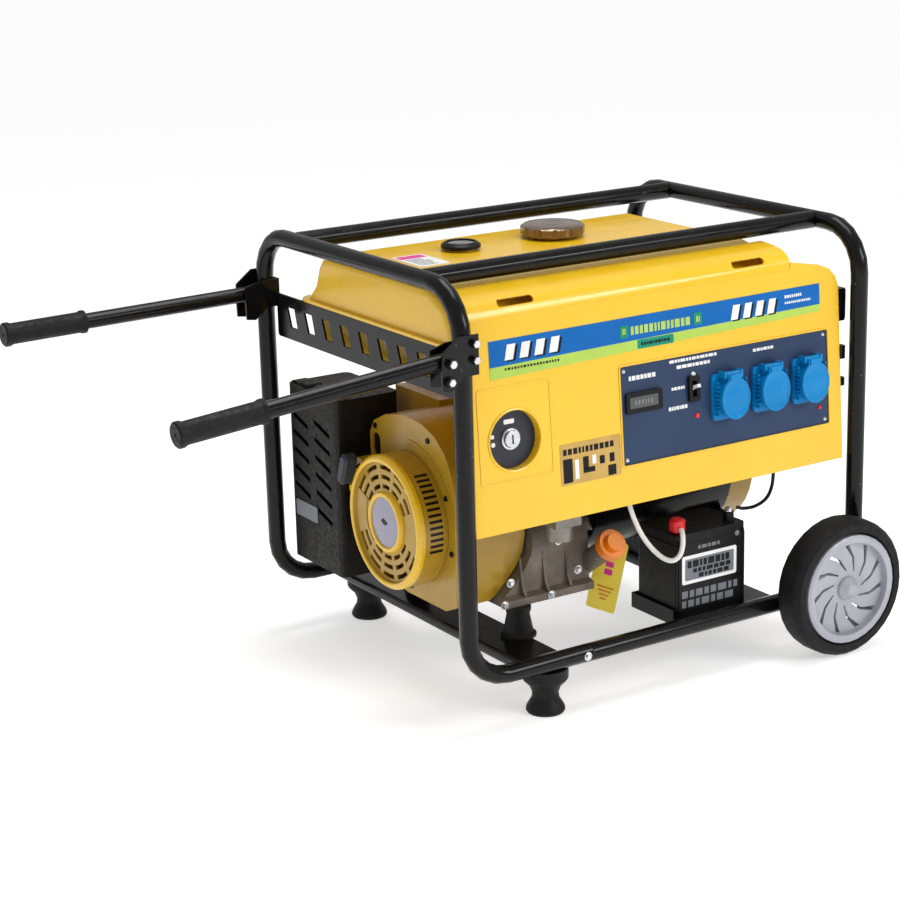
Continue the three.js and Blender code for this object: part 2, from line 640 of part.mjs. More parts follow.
function addCowl() {
  const [x0, x1] = COWL_X;
  const edge = upPanel(PANEL_TOP_Z);
  const shoulder = [
    [x1 - 5, upPanel(533)], [290, upPanel(545)], [270, upPanel(553)], [HOOD_END_X, upPanel(562)],
  ];
  const front = [[x0, 0], [x1, 0], [x1, upPanel(518)], ...shoulder, [HOOD_END_X - 4, edge], [x0, edge]];
  const window = roundedRect(CONTROL_X, CONTROL_Z.map(upPanel), 3, 2);
  const keyHole = circle([KEY_X, upPanel(KEY_Z)], KEY_POCKET_R, 32);
  const pill = (x) => prism('y', roundedRect([x - 28, x + 28], [564.5, 573], 4, 2), -250, -225);
  const sheet = prism('y', front, 0, SHEET, { holes: [window, keyHole] });
  const pocketOutline = circle([KEY_X, upPanel(KEY_Z)], KEY_POCKET_R + 2, 32);
  const pocket = prism('y', pocketOutline, BITE, 15, { holes: [keyHole] });
  const returns = [
    box([x0, x0 + SHEET], [0, 14], [0, edge]),
    box([x1 - SHEET, x1], [0, 14], [0, upPanel(518)]),
    box([x0, x1], [0, 12], [0, SHEET]),
  ];
  const placed = new THREE.Matrix4().makeRotationX(-PANEL_TILT).setPosition(0, PANEL_Y, PANEL_Z);
  const flat = moved(join(sheet, pocket, returns), placed);

  const lean = (z) => PANEL_Y + (z - PANEL_Z) * Math.tan(PANEL_TILT);
  const outer = [[lean(PANEL_TOP_Z - 3), PANEL_TOP_Z - 3], [-238.6, 562], [-232, 571], [-219, 577.5],
    [-200, 581], [-176, 583]];
  const innerSide = [[-176, 580.5], [-200, 578.5], [-218, 575], [-229.6, 569], [-236, 561.5],
    [lean(PANEL_TOP_Z - 3) + SHEET, PANEL_TOP_Z - 3]];
  const hood = prism('x', [...outer, ...innerSide], x0, HOOD_END_X);
  const endWall = prism('x', [...outer, [-176, 560], [-236, 552]], HOOD_END_X - SHEET, HOOD_END_X);
  part('front_cowl', cut(join(flat, hood, endWall), pill(-231), pill(151)), YELLOW_PAINT);
}

// Control plate with the open-backed box that carries the wiring behind it.
function addControlPanel() {
  const [x0, x1] = CONTROL_X.map((x, k) => x + (k ? -GAP : GAP));
  const [z0, z1] = CONTROL_Z.map(upPanel).map((z, k) => z + (k ? -GAP : GAP));
  const front = CONTROL_RECESS;
  const back = front + CONTROL_PLATE;
  const holes = [
    ...SOCKET_X.map((x) => circle([x, upPanel(SOCKET_Z)], RECESS_R + 3, 28)),
    roundedRect([METER_X - 26, METER_X + 26], [upPanel(METER_Z) - 11, upPanel(METER_Z) + 11], 1, 1),
    roundedRect([BREAKER_X - 7, BREAKER_X + 7], [upPanel(BREAKER_Z) - 15, upPanel(BREAKER_Z) + 15], 1, 1),
  ];
  const plate = prism('y', roundedRect([x0, x1], [z0, z1], 3, 2), front, back, { holes });
  const wallOuter = roundedRect([x0 + 6, x1 - 6], [z0 + 8, z1 - 30], 8, 2);
  const wallInner = roundedRect([x0 + 8.5, x1 - 8.5], [z0 + 10.5, z1 - 32.5], 6, 2);
  const box0 = prism('y', wallOuter, back - BITE, 62, { holes: [wallInner] });
  part('control_panel', join(plate, box0), SLATE_BLUE, panel);
}

const LID_HINGE_UP = 34;
const LID_HINGE_Y = -14;
const HINGE_BARREL_R = 3.2;
const HINGE_PIN_R = 1.3;

// Hinged-lid power outlet: flange, collar with the plug recess, barrel behind the plate, hinge ears and pin.
function addSockets() {
  const z = upPanel(SOCKET_Z);
  const plateFront = CONTROL_RECESS - GAP;
  SOCKET_X.forEach((x, i) => {
    const flange = prism('y', roundedRect([x - SOCKET_HALF[0], x + SOCKET_HALF[0]],
      [z - SOCKET_HALF[1], z + SOCKET_HALF[1] + 4], 6, 3), -4, plateFront);
    const collar = prism('y', ellipse([x, z], [24, 26.5], 24), -16, -3);
    const barrel = disc('y', [x, z], RECESS_R + 2.5, -1, 24, 20);
    const ears = [-1, 1].map((s) => box(
      [Math.min(x + s * 12, x + s * 16), Math.max(x + s * 12, x + s * 16)],
      [LID_HINGE_Y - 3.5, -3], [z + LID_HINGE_UP - 5, z + LID_HINGE_UP + 3.5]));
    const pin = disc('x', [LID_HINGE_Y, z + LID_HINGE_UP], HINGE_PIN_R, x - 13, x + 13, 8);
    const recess = disc('y', [x, z], RECESS_R, -17, 21, 20);
    const body = join(cut(join(flange, collar, barrel), recess), ears, pin);
    part(`socket_${i + 1}`, body, SOCKET_BLUE, panel);

    const cover = prism('y', ellipse([x, z], LID_HALF, 24), -20.3, -16 - GAP);
    const tab = box([x - 11.5, x + 11.5], [-20.3, -16 - GAP], [z + 20, z + LID_HINGE_UP]);
    const knuckle = disc('x', [LID_HINGE_Y, z + LID_HINGE_UP], HINGE_BARREL_R, x - 11.5, x + 11.5, 12);
    const bore = disc('x', [LID_HINGE_Y, z + LID_HINGE_UP], HINGE_PIN_R + 0.5, x - 12, x + 12, 8);
    part(`socket_lid_${i + 1}`, cut(join(cover, tab, knuckle), bore), SOCKET_BLUE, panel);
  });
}

function addInstruments() {
  const plateFront = CONTROL_RECESS - GAP;
  const meterZ = upPanel(METER_Z);
  const bezelOutline = roundedRect([METER_X - 30, METER_X + 30], [meterZ - 14, meterZ + 14], 3, 2);
  const bezel = prism('y', bezelOutline, -3, plateFront);
  const meterBack = box([METER_X - 25, METER_X + 25], [-1, 20], [meterZ - 10, meterZ + 10]);
  const glassPocket = box([METER_X - 24, METER_X + 24], [-4, -2], [meterZ - 8, meterZ + 8]);
  part('hour_meter', cut(join(bezel, meterBack), glassPocket), BLACK_PLASTIC, panel);

  const z = upPanel(BREAKER_Z);
  const x = BREAKER_X;
  const surround = prism('y', roundedRect([x - 9, x + 9], [z - 18, z + 18], 3, 2), -4, plateFront);
  const back = box([x - 6.5, x + 6.5], [-1, 26], [z - 14, z + 14]);
  const slot = box([x - 3.5, x + 3.5], [-5, 10], [z - 11, z + 11]);
  const pin = disc('x', [4, z], 1.2, x - 5, x + 5, 10);
  part('breaker_body', join(cut(join(surround, back), slot), pin), BLACK_PLASTIC, panel);

  const lever = box([x - 2.8, x + 2.8], [-14, 4], [z - 2.2, z + 2.2]);
  const knuckle = disc('x', [4, z], 3.6, x - 2.8, x + 2.8, 14);
  const bore = disc('x', [4, z], 1.7, x - 4, x + 4, 12);
  const raised = new THREE.Matrix4().makeTranslation(0, 4, z)
    .multiply(new THREE.Matrix4().makeRotationX(THREE.MathUtils.degToRad(-18)))
    .multiply(new THREE.Matrix4().makeTranslation(0, -4, -z));
  part('breaker_toggle', moved(cut(join(lever, knuckle), bore), raised), WHITE_LEAD, panel);
}

function addKeySwitch() {
  const centre = [KEY_X, upPanel(KEY_Z)];
  const boreR = 8.5;
  const plate = prism('y', circle(centre, KEY_POCKET_R - GAP, 32), 11.5, 15,
    { holes: [circle(centre, boreR, 20)] });
  const barrel = prism('y', circle(centre, 13, 20), 14, 44, { holes: [circle(centre, boreR, 20)] });
  part('key_switch', join(plate, barrel), DARK_GREY, panel);

  const lock = disc('y', centre, boreR - 0.5, 5, 40, 20);
  const rim = disc('y', centre, 11, 5, 11, 24);
  const slot = box([centre[0] - 1.2, centre[0] + 1.2], [4, 14], [centre[1] - 6, centre[1] + 6]);
  part('key_rotor', cut(join(lock, rim), slot), STEEL, panel);
}

// ---- engine -------------------------------------------------------------------------------

const SHAFT = [SHAFT_Y, SHAFT_Z];
const onShaft = (r, from, to, sides = 32) => disc('x', SHAFT, r, from, to, sides);
const CASE_BORE_R = SHAFT_R + RUNNING_GAP;

// Outside of the crankcase: its end view and its side view, meeting in one block.
function crankcaseBlock(grow = 0) {
  const g = grow;
  const endView = [
    [-158 - g, BASE_Z - g], [-158 - g, BASE_Z + 10], [-146 - g, BASE_Z + 14 + g], [-143 - g, 200],
    [-122 - g, 272 + g],
    [-80, 320 + g], [30, 328 + g], [92 + g, 302 + g], [120 + g, 235], [122 + g, BASE_Z + 14 + g],
    [136 + g, BASE_Z + 10], [136 + g, BASE_Z - g],
  ];
  const [x0, x1] = [CRANKCASE_X[0] - g, CRANKCASE_X[1] + g];
  const sideView = [
    [x0, BASE_Z - g], [x1, BASE_Z - g], [x1, 300], [x1 - 12, 335], [CASE_FRONT_X - g, 335],
    [CASE_FRONT_X - g, 213], [CASE_FRONT_X - 5 - g, 189], [-162 - g, 172], [-180 - g, 152], [-197 - g, 138],
  ];
  return prism('x', endView, x0, x1).intersect(prism('y', sideView, -165, 145));
}

// Oil filler: a boss that slopes up and out of the lower panel-side corner of the crankcase.
const FILLER_BASE = new THREE.Vector3(-52, -130, 152);
const FILLER_SLOPE = THREE.MathUtils.degToRad(35);
const fillerPlace = new THREE.Matrix4().makeRotationX(Math.PI / 2 - FILLER_SLOPE)
  .setPosition(FILLER_BASE);
const alongFiller = (r, from, to, sides = 20) => moved(disc('z', [0, 0], r, from, to, sides), fillerPlace);

function addCrankcase() {
  const cavity = onShaft(60, CASE_FRONT_X + 10, CRANKCASE_X[1] - 12);
  const bore = onShaft(CASE_BORE_R, CRANKCASE_X[0] - 1, CRANKCASE_X[1] + 1);
  const boss = alongFiller(15, -42, 68, 14);
  const oilWay = alongFiller(8, -36, 70, 12);
  const casting = join(crankcaseBlock(), boss, finnedBarrel());
  part('crankcase', cut(casting, cavity, bore, oilWay), CAST_GREY);

  const cap = join(alongFiller(21, 68 + GAP, 82, 20), alongFiller(13, 81, 90, 12));
  const blade = alongFiller(4, -28, 70, 10);
  part('oil_dipstick', join(cap, blade), ORANGE);

  // Card tag hanging beside the filler cap, swung a little towards the engine.
  const tagOutline = roundedRect([-21.5, 21.5], [-107, 1], 4, 2);
  const tagPlace = new THREE.Matrix4().makeRotationZ(THREE.MathUtils.degToRad(35))
    .multiply(new THREE.Matrix4().makeRotationX(THREE.MathUtils.degToRad(12)))
    .setPosition(-18, -154, 185);
  part('oil_tag', moved(prism('x', tagOutline, -0.75, 0.75), tagPlace), TAG_YELLOW);
}

const cylinderPlace = new THREE.Matrix4().makeRotationX(CYLINDER_TILT - Math.PI / 2)
  .setPosition(-112, SHAFT_Y, SHAFT_Z);

// Finned cylinder barrel, cast with the crankcase and leaning up and back from it.
function finnedBarrel() {
  const halfFin = 43;
  const plates = Array.from({ length: 6 }, (_, i) => {
    const s = 118 + 11 * i;
    return box([-halfFin, halfFin], [-halfFin, halfFin], [s, s + 4]);
  });
  const core = disc('z', [0, 0], 34, 60, 183, 20);
  return moved(join(core, plates), cylinderPlace);
}

// Cylinder head with its valve cover bolted on.
function addHead() {
  const head = prism('z', roundedRect([-46, 46], [-43, 43], 8, 2), 183 + GAP, 212);
  const cover = prism('z', roundedRect([-40, 40], [-36, 36], 12, 2), 211, 234, { round: 3, steps: 1 });
  part('cylinder_head', moved(join(head, cover), cylinderPlace), ALUMINIUM);
}

const SHROUD_OUTLINE = [
  [-127, 130], [-129, 290], [-121, 318], [-107, 341], [-82, 361], [-47, 373], [0, 375], [46, 366], [78, 351],
  [90, 332], [88, 250], [74, 178], [24, 122], [0, 118], [-100, 118],
];
const SHROUD_SIDE = [
  [-270, 100], [-238, 114], [-221, 124], [-200, 136], [-183, 152], [-165, 172], [-155, 190], [-151, 213],
  [-149, 400], [-270, 400],
];

// Fan shroud: an open-backed housing round the flywheel, with the air duct that runs over the cylinder.
function addShroud() {
  const mid = [-20, 242];
  const wall = 3;
  const shrink = (p) => p.map((v, k) => mid[k] + (v - mid[k]) * (1 - wall / [108, 125][k]));
  const shell = cut(
    prism('x', SHROUD_OUTLINE, ...SHROUD_X).intersect(prism('y', SHROUD_SIDE, -200, 200)),
    prism('x', SHROUD_OUTLINE.map(shrink), SHROUD_X[0] + wall, SHROUD_X[1] + 1),
    onShaft(FLYWHEEL_R + 4, SHROUD_X[0] - 1, SHROUD_X[0] + wall + 1),
    prism('x', roundedRect([62, 82], [300, 334], 9, 3), SHROUD_X[0] - 1, SHROUD_X[0] + wall + 1),
    crankcaseBlock(0.6),
  );
  const ductX = [-192, -76];
  const ductY = [18, 136];
  const ductZ = [338, 380];
  const duct = cut(
    box(ductX, ductY, ductZ),
    box([ductX[0] + wall, ductX[1] + 1], [ductY[0] + wall, ductY[1] + 1], [ductZ[0] - 1, ductZ[1] - wall]),
  );
  const airway = join(shell, cut(duct, crankcaseBlock(0.6)));
  const clear = moved(box([-47, 47], [-47, 47], [90, 240]), cylinderPlace);
  const inside = prism('x', SHROUD_OUTLINE.map(shrink), ductX[0] - 1, SHROUD_X[1] - 4);
  part('fan_shroud', cut(airway, clear, inside), SHROUD_YELLOW);
}

// Recoil starter cover: a deep round dish with rows of curved slots and a rope guide at its upper rear edge.
function arcSlot(r, from, to, width = 4) {
  const steps = 2;
  const at = (radius, t) => {
    const angle = THREE.MathUtils.degToRad(from + (to - from) * t);
    return [SHAFT_Y + radius * Math.cos(angle), SHAFT_Z + radius * Math.sin(angle)];
  };
  const ts = Array.from({ length: steps + 1 }, (_, i) => i / steps);
  return [...ts.map((t) => at(r + width, t)), ...ts.slice().reverse().map((t) => at(r, t))];
}

const GUIDE_Y = 66;
const GUIDE_Z = 292;

function addRecoil() {
  const [x0, x1] = RECOIL_X;
  const dish = turned('x', [0, SHAFT_Y, SHAFT_Z], [
    [30, x0 + 5], [RECOIL_R - 11, x0 + 5], [RECOIL_R - 9, x0], [RECOIL_R - 4, x0], [RECOIL_R, x0 + 5],
    [RECOIL_R, x1], [RECOIL_R - 3, x1], [RECOIL_R - 3, x0 + 8], [34, x0 + 8], [34, x0 + 12], [30, x0 + 12],
  ], 40);
  const medallion = onShaft(39, x0 + 3, x0 + 6.5, 28);
  const rows = [47.5, 61, 74.5].flatMap((r) =>
    [90, 270].flatMap((middle) => [-2, -1, 0, 1, 2].map((k) => {
      const centre = middle + 28 * k;
      return prism('x', arcSlot(r, centre - 10.5, centre + 10.5, 6), x0 - 1, x0 + 10);
    })));
  const guideOutline = roundedRect([GUIDE_Y - 12, GUIDE_Y + 12], [GUIDE_Z - 18, GUIDE_Z + 12], 6, 2);
  const guide = prism('x', guideOutline, x0 + 12, x1 - 4);
  const eye = disc('x', [GUIDE_Y, GUIDE_Z], 4.5, x0 - 1, x1, 16);
  part('recoil_cover', cut(join(dish, medallion, guide), rows, eye), SHROUD_YELLOW);

  const ropeEnd = x0 + 12 - GAP;
  const gripX = ropeEnd - 8;
  const rope = disc('x', [GUIDE_Y, GUIDE_Z], 2, gripX + GAP, x1 - 6, 8);
  part('starter_rope', rope, RUBBER);
  const handle = prism('x', roundedRect([-9, 9], [-24, 24], 8, 3), -22, 0, { round: 4, steps: 1 });
  const gripPlace = new THREE.Matrix4().makeRotationX(THREE.MathUtils.degToRad(20))
    .setPosition(gripX, GUIDE_Y, GUIDE_Z);
  part('starter_grip', moved(handle, gripPlace), DARK_GREY);
}

// Crankshaft with its counterweights, the alternator rotor on its tail and the flywheel keyed to its nose.
const ROTOR_X = [-8, 182];
const NOSE_X = -254;

function addShaft() {
  const shaft = onShaft(SHAFT_R, NOSE_X, 240, 20);
  const weights = join(onShaft(44, -130, -116, 20), onShaft(44, -90, -76, 20));
  const rotor = onShaft(58, ...ROTOR_X, 24);
  const flywheel = turned('x', [0, SHAFT_Y, SHAFT_Z], [
    [SHAFT_R - BITE, -248], [30, -248], [30, -236], [FLYWHEEL_R - 8, -236], [FLYWHEEL_R - 8, -246],
    [FLYWHEEL_R, -246], [FLYWHEEL_R, -214], [SHAFT_R - BITE, -214],
  ], 28);
  part('crankshaft', join(shaft, weights, rotor, flywheel), STEEL);
}

// Muffler can with its inlet stub, inside a louvred guard.
const GUARD_X = [-314, -212];
const GUARD_Y = [93, 238];
const GUARD_Z = [122, 382];

function addMuffler() {
  const wall = 2.5;
  const outer = prism('z', roundedRect(GUARD_X, GUARD_Y, 10, 2), ...GUARD_Z);
  const inner = prism('z', roundedRect(GUARD_X.map((x, k) => x + (k ? -wall : wall)),
    GUARD_Y.map((y, k) => y + (k ? -wall : wall)), 8, 2), GUARD_Z[0] - 1, GUARD_Z[1] - wall);
  const louvres = [0, 1, 2, 3, 4, 5].flatMap((row) => [0, 1].map((column) => {
    const z = GUARD_Z[1] - 46 - 26 * row;
    const y = GUARD_Y[1] - 14 - 62 * column;
    const outline = [[y, z], [y, z + 7], [y - 44, z - 7], [y - 44, z - 14]];
    return prism('x', outline, GUARD_X[0] - 1, GUARD_X[0] + wall + 1);
  }));
  const canOutline = roundedRect([GUARD_X[0] + 8, GUARD_X[1] - 6], [GUARD_Y[0] + 8, GUARD_Y[1] - 8], 26, 3);
  const can = prism('z', canOutline,
    GUARD_Z[0] + 14, GUARD_Z[1] - 12, { round: 6, steps: 1 });
  const stub = disc('x', [150, 312], 16, GUARD_X[1] - 30, -164, 16);
  const bore = disc('x', [150, 312], 12, GUARD_X[1] - 28, -160, 12);
  const pipeHole = disc('x', [150, 312], 20, GUARD_X[0] + 40, -150, 16);
  part('muffler_guard', cut(outer, inner, louvres, pipeHole), HOT_BLACK);
  part('muffler', cut(join(can, stub), bore), HOT_BLACK);
}

// Carburettor on the panel side of the engine, with its choke lever, and the air cleaner above it.
const CHOKE_X = -92;
const CHOKE_Z = 262;

function addFuelAndAir() {
  const body = join(
    box([-146, -104], [-196, -150], [236, 288]),
    disc('z', [-125, -173], 19, 214, 238, 20),
    disc('x', [-172, 268], 6, -106, -96 - GAP, 16),
  );
  const stub = disc('z', [-125, -173], 14, 286, 300 - GAP, 20);
  part('carburettor', join(body, stub), ALUMINIUM);

  const lever = prism('x', [[-178, 262], [-166, 262], [-166, 274], [-178, 274]], -96, -93);
  const arm = prism('x', [[-176, 264], [-168, 264], [-196, 226], [-206, 230]], -96, -93);
  part('choke_lever', join(lever, arm), STEEL);

  const shell = prism('z', roundedRect([-196, -100], [-238, -148], 14, 3), 300, 424, { round: 6, steps: 1 });
  part('air_cleaner', shell, BLACK_PLASTIC);
}

// ---- alternator ---------------------------------------------------------------------------

function addAlternator() {
  const [x0, x1] = STATOR_X;
  const profile = [
    [CASE_BORE_R, x0], [70, x0], [84, x0 + 12], [88, x0 + 34], [STATOR_R, x0 + 40], [STATOR_R, x1],
    [66, x1], [66, x0 + 30], [CASE_BORE_R, x0 + 22],
  ];
  const housing = turned('x', [0, SHAFT_Y, SHAFT_Z], profile, 32);
  const feet = [-1, 1].map((s) => {
    const y = SHAFT_Y + s * 70;
    return prism('x', [[y - 22, BASE_Z], [y + 22, BASE_Z], [y + 22, 172], [y - 22, 172]], 160, x1 - 2);
  });
  const room = onShaft(70, 150, x1 + 1);
  part('stator_housing', join(housing, cut(join(feet), room)), BLACK_PAINT);

  const [c0, c1] = END_COVER_X;
  const cover = turned('x', [0, SHAFT_Y, SHAFT_Z], [
    [0, c1], [STATOR_R - 12, c1], [STATOR_R, c1 - 12], [STATOR_R, c0], [STATOR_R - 3, c0],
    [STATOR_R - 3, c1 - 12], [STATOR_R - 14, c1 - 3], [0, c1 - 3],
  ], 32);
  const vents = [-2, -1, 0, 1, 2].map((k) =>
    box([c1 - 6, c1 + 1], [SHAFT_Y - 50 + 8 * Math.abs(k), SHAFT_Y + 50 - 8 * Math.abs(k)],
      [SHAFT_Z + 22 * k - 3, SHAFT_Z + 22 * k + 3]));
  part('alternator_end_cover', cut(cover, vents), YELLOW_PAINT);
}

// Rubber mounts between the machine and the two cross members: two under the engine's feet and
// one long block under the alternator.
function addIsolators() {
  const [z0, z1] = [LOWER_Z + GAP, BASE_Z - GAP];
  const height = z1 - z0;
  [-150, 112].forEach((y, k) => {
    const block = turned('z', [-179, y, z0], [
      [0, 0], [25, 0], [25, 4], [21, 7], [16, height - 12], [18, height - 5], [18, height], [0, height],
    ], 20);
    part(`engine_isolator_${SIDES[k][0]}`, block, RUBBER);
  });
  const bar = roundedRect([162, 196], [SHAFT_Y - 88, SHAFT_Y + 88], 6, 2);
  part('alternator_isolator', prism('z', bar, z0, z1), RUBBER);
}

// ---- battery and leads --------------------------------------------------------------------

const BOOT = { x: [28, 48], y: [-234, -214], height: 21 };

function addBattery() {
  const [z0, z1] = BATTERY_Z;
  const caseBody = prism('z', roundedRect(BATTERY_X, BATTERY_Y, 4, 2), z0, z1 - 14);
  const lidSides = [BATTERY_X, BATTERY_Y].map(([low, high]) => [low + 1, high - 1]);
  const lid = prism('z', roundedRect(...lidSides, 4, 2),
    z1 - 15, z1);
  const post = disc('z', [130, -222], 8, z1 - 1, z1 + 14, 14);
  part('battery', join(caseBody, lid, post), BLACK_PLASTIC);

  const boot = prism('z', roundedRect(BOOT.x, BOOT.y, 7, 3), z1 + GAP, z1 + BOOT.height,
    { round: 3, steps: 1 });
  part('positive_boot', boot, RED);

  const plus = [
    [-37, -201, 290], [-31, -202, 264], [-24, -205, 236], [-14, -211, 209], [-4, -222, 189], [5, -235, 177],
    [14, -245, 174], [23, -249, 181], [28, -249, 194], [31, -245, 207], [34, BOOT.y[0] - 4, 213],
  ];
  part('positive_lead', lead(plus, 3.5, 28), WHITE_LEAD);

  const minus = [
    [197, -240, 292], [196, -240, 268], [193, -240, 246], [184, -239, 230], [168, -235, 221],
    [152, -229, 219],
    [142.5, -225, 221.5],
  ];
  part('negative_lead', lead(minus, 2.5, 22), BLACK_PLASTIC);
}

// ---- assembly -----------------------------------------------------------------------------

addFrame();
addCrossMembers();
addFeet();
addWheels();
addHandles();
addTank();
addTankSupports();
addCowl();
addControlPanel();
addSockets();
addInstruments();
addKeySwitch();
addCrankcase();
addHead();
addShroud();
addRecoil();
addShaft();
addMuffler();
addFuelAndAir();
addAlternator();
addIsolators();
addBattery();

// The origin goes on the floor, under the middle of the whole set's box.
generator.updateMatrixWorld(true);
const extent = new THREE.Box3().setFromObject(generator, true);
const middle = extent.getCenter(new THREE.Vector3());
generator.position.set(-middle.x, -middle.y, -extent.min.z);

export default generator;
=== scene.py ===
"""Portable generator: materials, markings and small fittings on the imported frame.

Lengths reach Blender in metres, in the same frame as the CAD. Most are written in the set's own millimetres.
"""
import json
import math
import random
import bmesh
import bpy
from mathutils import Matrix, Vector

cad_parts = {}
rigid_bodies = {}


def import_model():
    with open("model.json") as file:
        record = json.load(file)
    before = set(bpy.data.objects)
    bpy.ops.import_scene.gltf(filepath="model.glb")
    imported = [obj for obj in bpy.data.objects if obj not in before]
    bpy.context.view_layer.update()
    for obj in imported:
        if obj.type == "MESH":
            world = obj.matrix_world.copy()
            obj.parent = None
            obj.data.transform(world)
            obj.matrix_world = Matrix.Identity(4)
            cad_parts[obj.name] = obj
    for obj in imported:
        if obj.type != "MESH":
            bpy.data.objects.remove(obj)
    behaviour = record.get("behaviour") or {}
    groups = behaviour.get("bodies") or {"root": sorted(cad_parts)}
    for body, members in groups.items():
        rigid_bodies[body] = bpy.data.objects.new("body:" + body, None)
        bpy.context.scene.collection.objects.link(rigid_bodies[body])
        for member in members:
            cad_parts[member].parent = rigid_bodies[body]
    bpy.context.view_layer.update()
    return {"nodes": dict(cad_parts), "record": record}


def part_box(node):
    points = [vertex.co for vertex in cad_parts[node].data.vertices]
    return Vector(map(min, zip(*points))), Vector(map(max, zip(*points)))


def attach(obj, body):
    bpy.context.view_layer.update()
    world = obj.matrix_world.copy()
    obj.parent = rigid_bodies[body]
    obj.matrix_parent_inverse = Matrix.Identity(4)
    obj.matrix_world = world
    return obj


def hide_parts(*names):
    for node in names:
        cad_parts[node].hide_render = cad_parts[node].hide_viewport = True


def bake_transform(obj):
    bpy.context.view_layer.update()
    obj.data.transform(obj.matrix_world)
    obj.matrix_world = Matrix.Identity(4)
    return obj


for leftover in list(bpy.data.objects):
    bpy.data.objects.remove(leftover)
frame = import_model()
MM = 0.001


def middle(node):
    low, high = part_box(node)
    return (low + high) / 2


# The set's own millimetres: x from the middle of the tube frame, y from the panel side to the rear, z up.
TYRE_X = 271
OFFSET_X = middle("tyre_panel_side").x - TYRE_X * MM
PANEL_Y, PANEL_Z = -260, 273            # lower edge of the sloping cowl face
TILT = math.radians(3.95)               # how far that face leans back
SHAFT_Y, SHAFT_Z = -17.5, 232.6         # crankshaft axis


def place(x, y, z):
    return Vector((x * MM + OFFSET_X, y * MM, z * MM))


def own_x(corner):
    """The x of a corner of a node's box, in the set's own millimetres."""
    return (corner.x - OFFSET_X) / MM


def up(z):
    """Height above the floor as a distance up the sloping panel."""
    return (z - PANEL_Z) / math.cos(TILT)


SET = Matrix.Translation((OFFSET_X, 0, 0)) @ Matrix.Scale(MM, 4)
PANEL = (Matrix.Translation(place(0, PANEL_Y, PANEL_Z)) @ Matrix.Rotation(-TILT, 4, "X")
         @ Matrix.Scale(MM, 4))


# ---- camera and light -----------------------------------------------------------------------

CAMERA_AT = (-1806.6, -2573.5, 1176.9)
CAMERA_ANGLES = (32.17, 15.89, -1.5)    # degrees: yaw from +Y, pitch down, roll
LENS, SENSOR = 90.55, 36
LAMP_TARGET = (0, 0, 0.3)
LAMPS = {                               # place and size in metres, power in watts
    "key": ((1.7, -2.8, 1.9), (1.4, 1.0), 40),
    "top": ((0.3, 0.0, 2.4), (1.6, 0.9), 24),
    "side": ((-2.8, -0.4, 1.5), (0.8, 1.4), 1),
}
SKY_STRENGTH = 0.49


def add_camera():
    """Camera at the photograph's viewing angle."""
    yaw, pitch, roll = (math.radians(a) for a in CAMERA_ANGLES)
    ahead = Vector((math.sin(yaw) * math.cos(pitch), math.cos(yaw) * math.cos(pitch), -math.sin(pitch)))
    right = Vector((math.cos(yaw), -math.sin(yaw), 0))
    above = right.cross(ahead)
    x_axis = math.cos(roll) * right + math.sin(roll) * above
    y_axis = -math.sin(roll) * right + math.cos(roll) * above
    data = bpy.data.cameras.new("camera")
    data.lens = LENS
    data.sensor_width = SENSOR
    camera = bpy.data.objects.new("camera", data)
    bpy.context.scene.collection.objects.link(camera)
    turn = Matrix((x_axis, y_axis, -ahead)).transposed().to_4x4()
    camera.matrix_world = Matrix.Translation(place(*CAMERA_AT)) @ turn
    bpy.context.scene.camera = camera


def add_lamp(name, at, size, power):
    data = bpy.data.lights.new(name, "AREA")
    data.shape = "RECTANGLE"
    data.size, data.size_y = size
    data.energy = power
    lamp = bpy.data.objects.new(name, data)
    bpy.context.scene.collection.objects.link(lamp)
    lamp.location = at
    lamp.rotation_euler = (Vector(LAMP_TARGET) - Vector(at)).to_track_quat("-Z", "Y").to_euler()


def add_light():
    """Even white sky and three soft panels."""
    world = bpy.data.worlds.new("studio")
    world.use_nodes = True
    world.node_tree.nodes["Background"].inputs["Color"].default_value = (1, 1, 1, 1)
    world.node_tree.nodes["Background"].inputs["Strength"].default_value = SKY_STRENGTH
    bpy.context.scene.world = world
    bpy.context.scene.view_settings.view_transform = "Standard"
    for name, (at, size, power) in LAMPS.items():
        add_lamp(name, at, size, power)


add_camera()
add_light()


# ---- materials ------------------------------------------------------------------------------

def srgb(r, g, b):
    """A colour given as 0 to 255 sRGB, as linear numbers."""
    return tuple(((c / 255 + 0.055) / 1.055) ** 2.4 if c > 10 else c / 255 / 12.92 for c in (r, g, b))


DUST = (0.34, 0.31, 0.27)


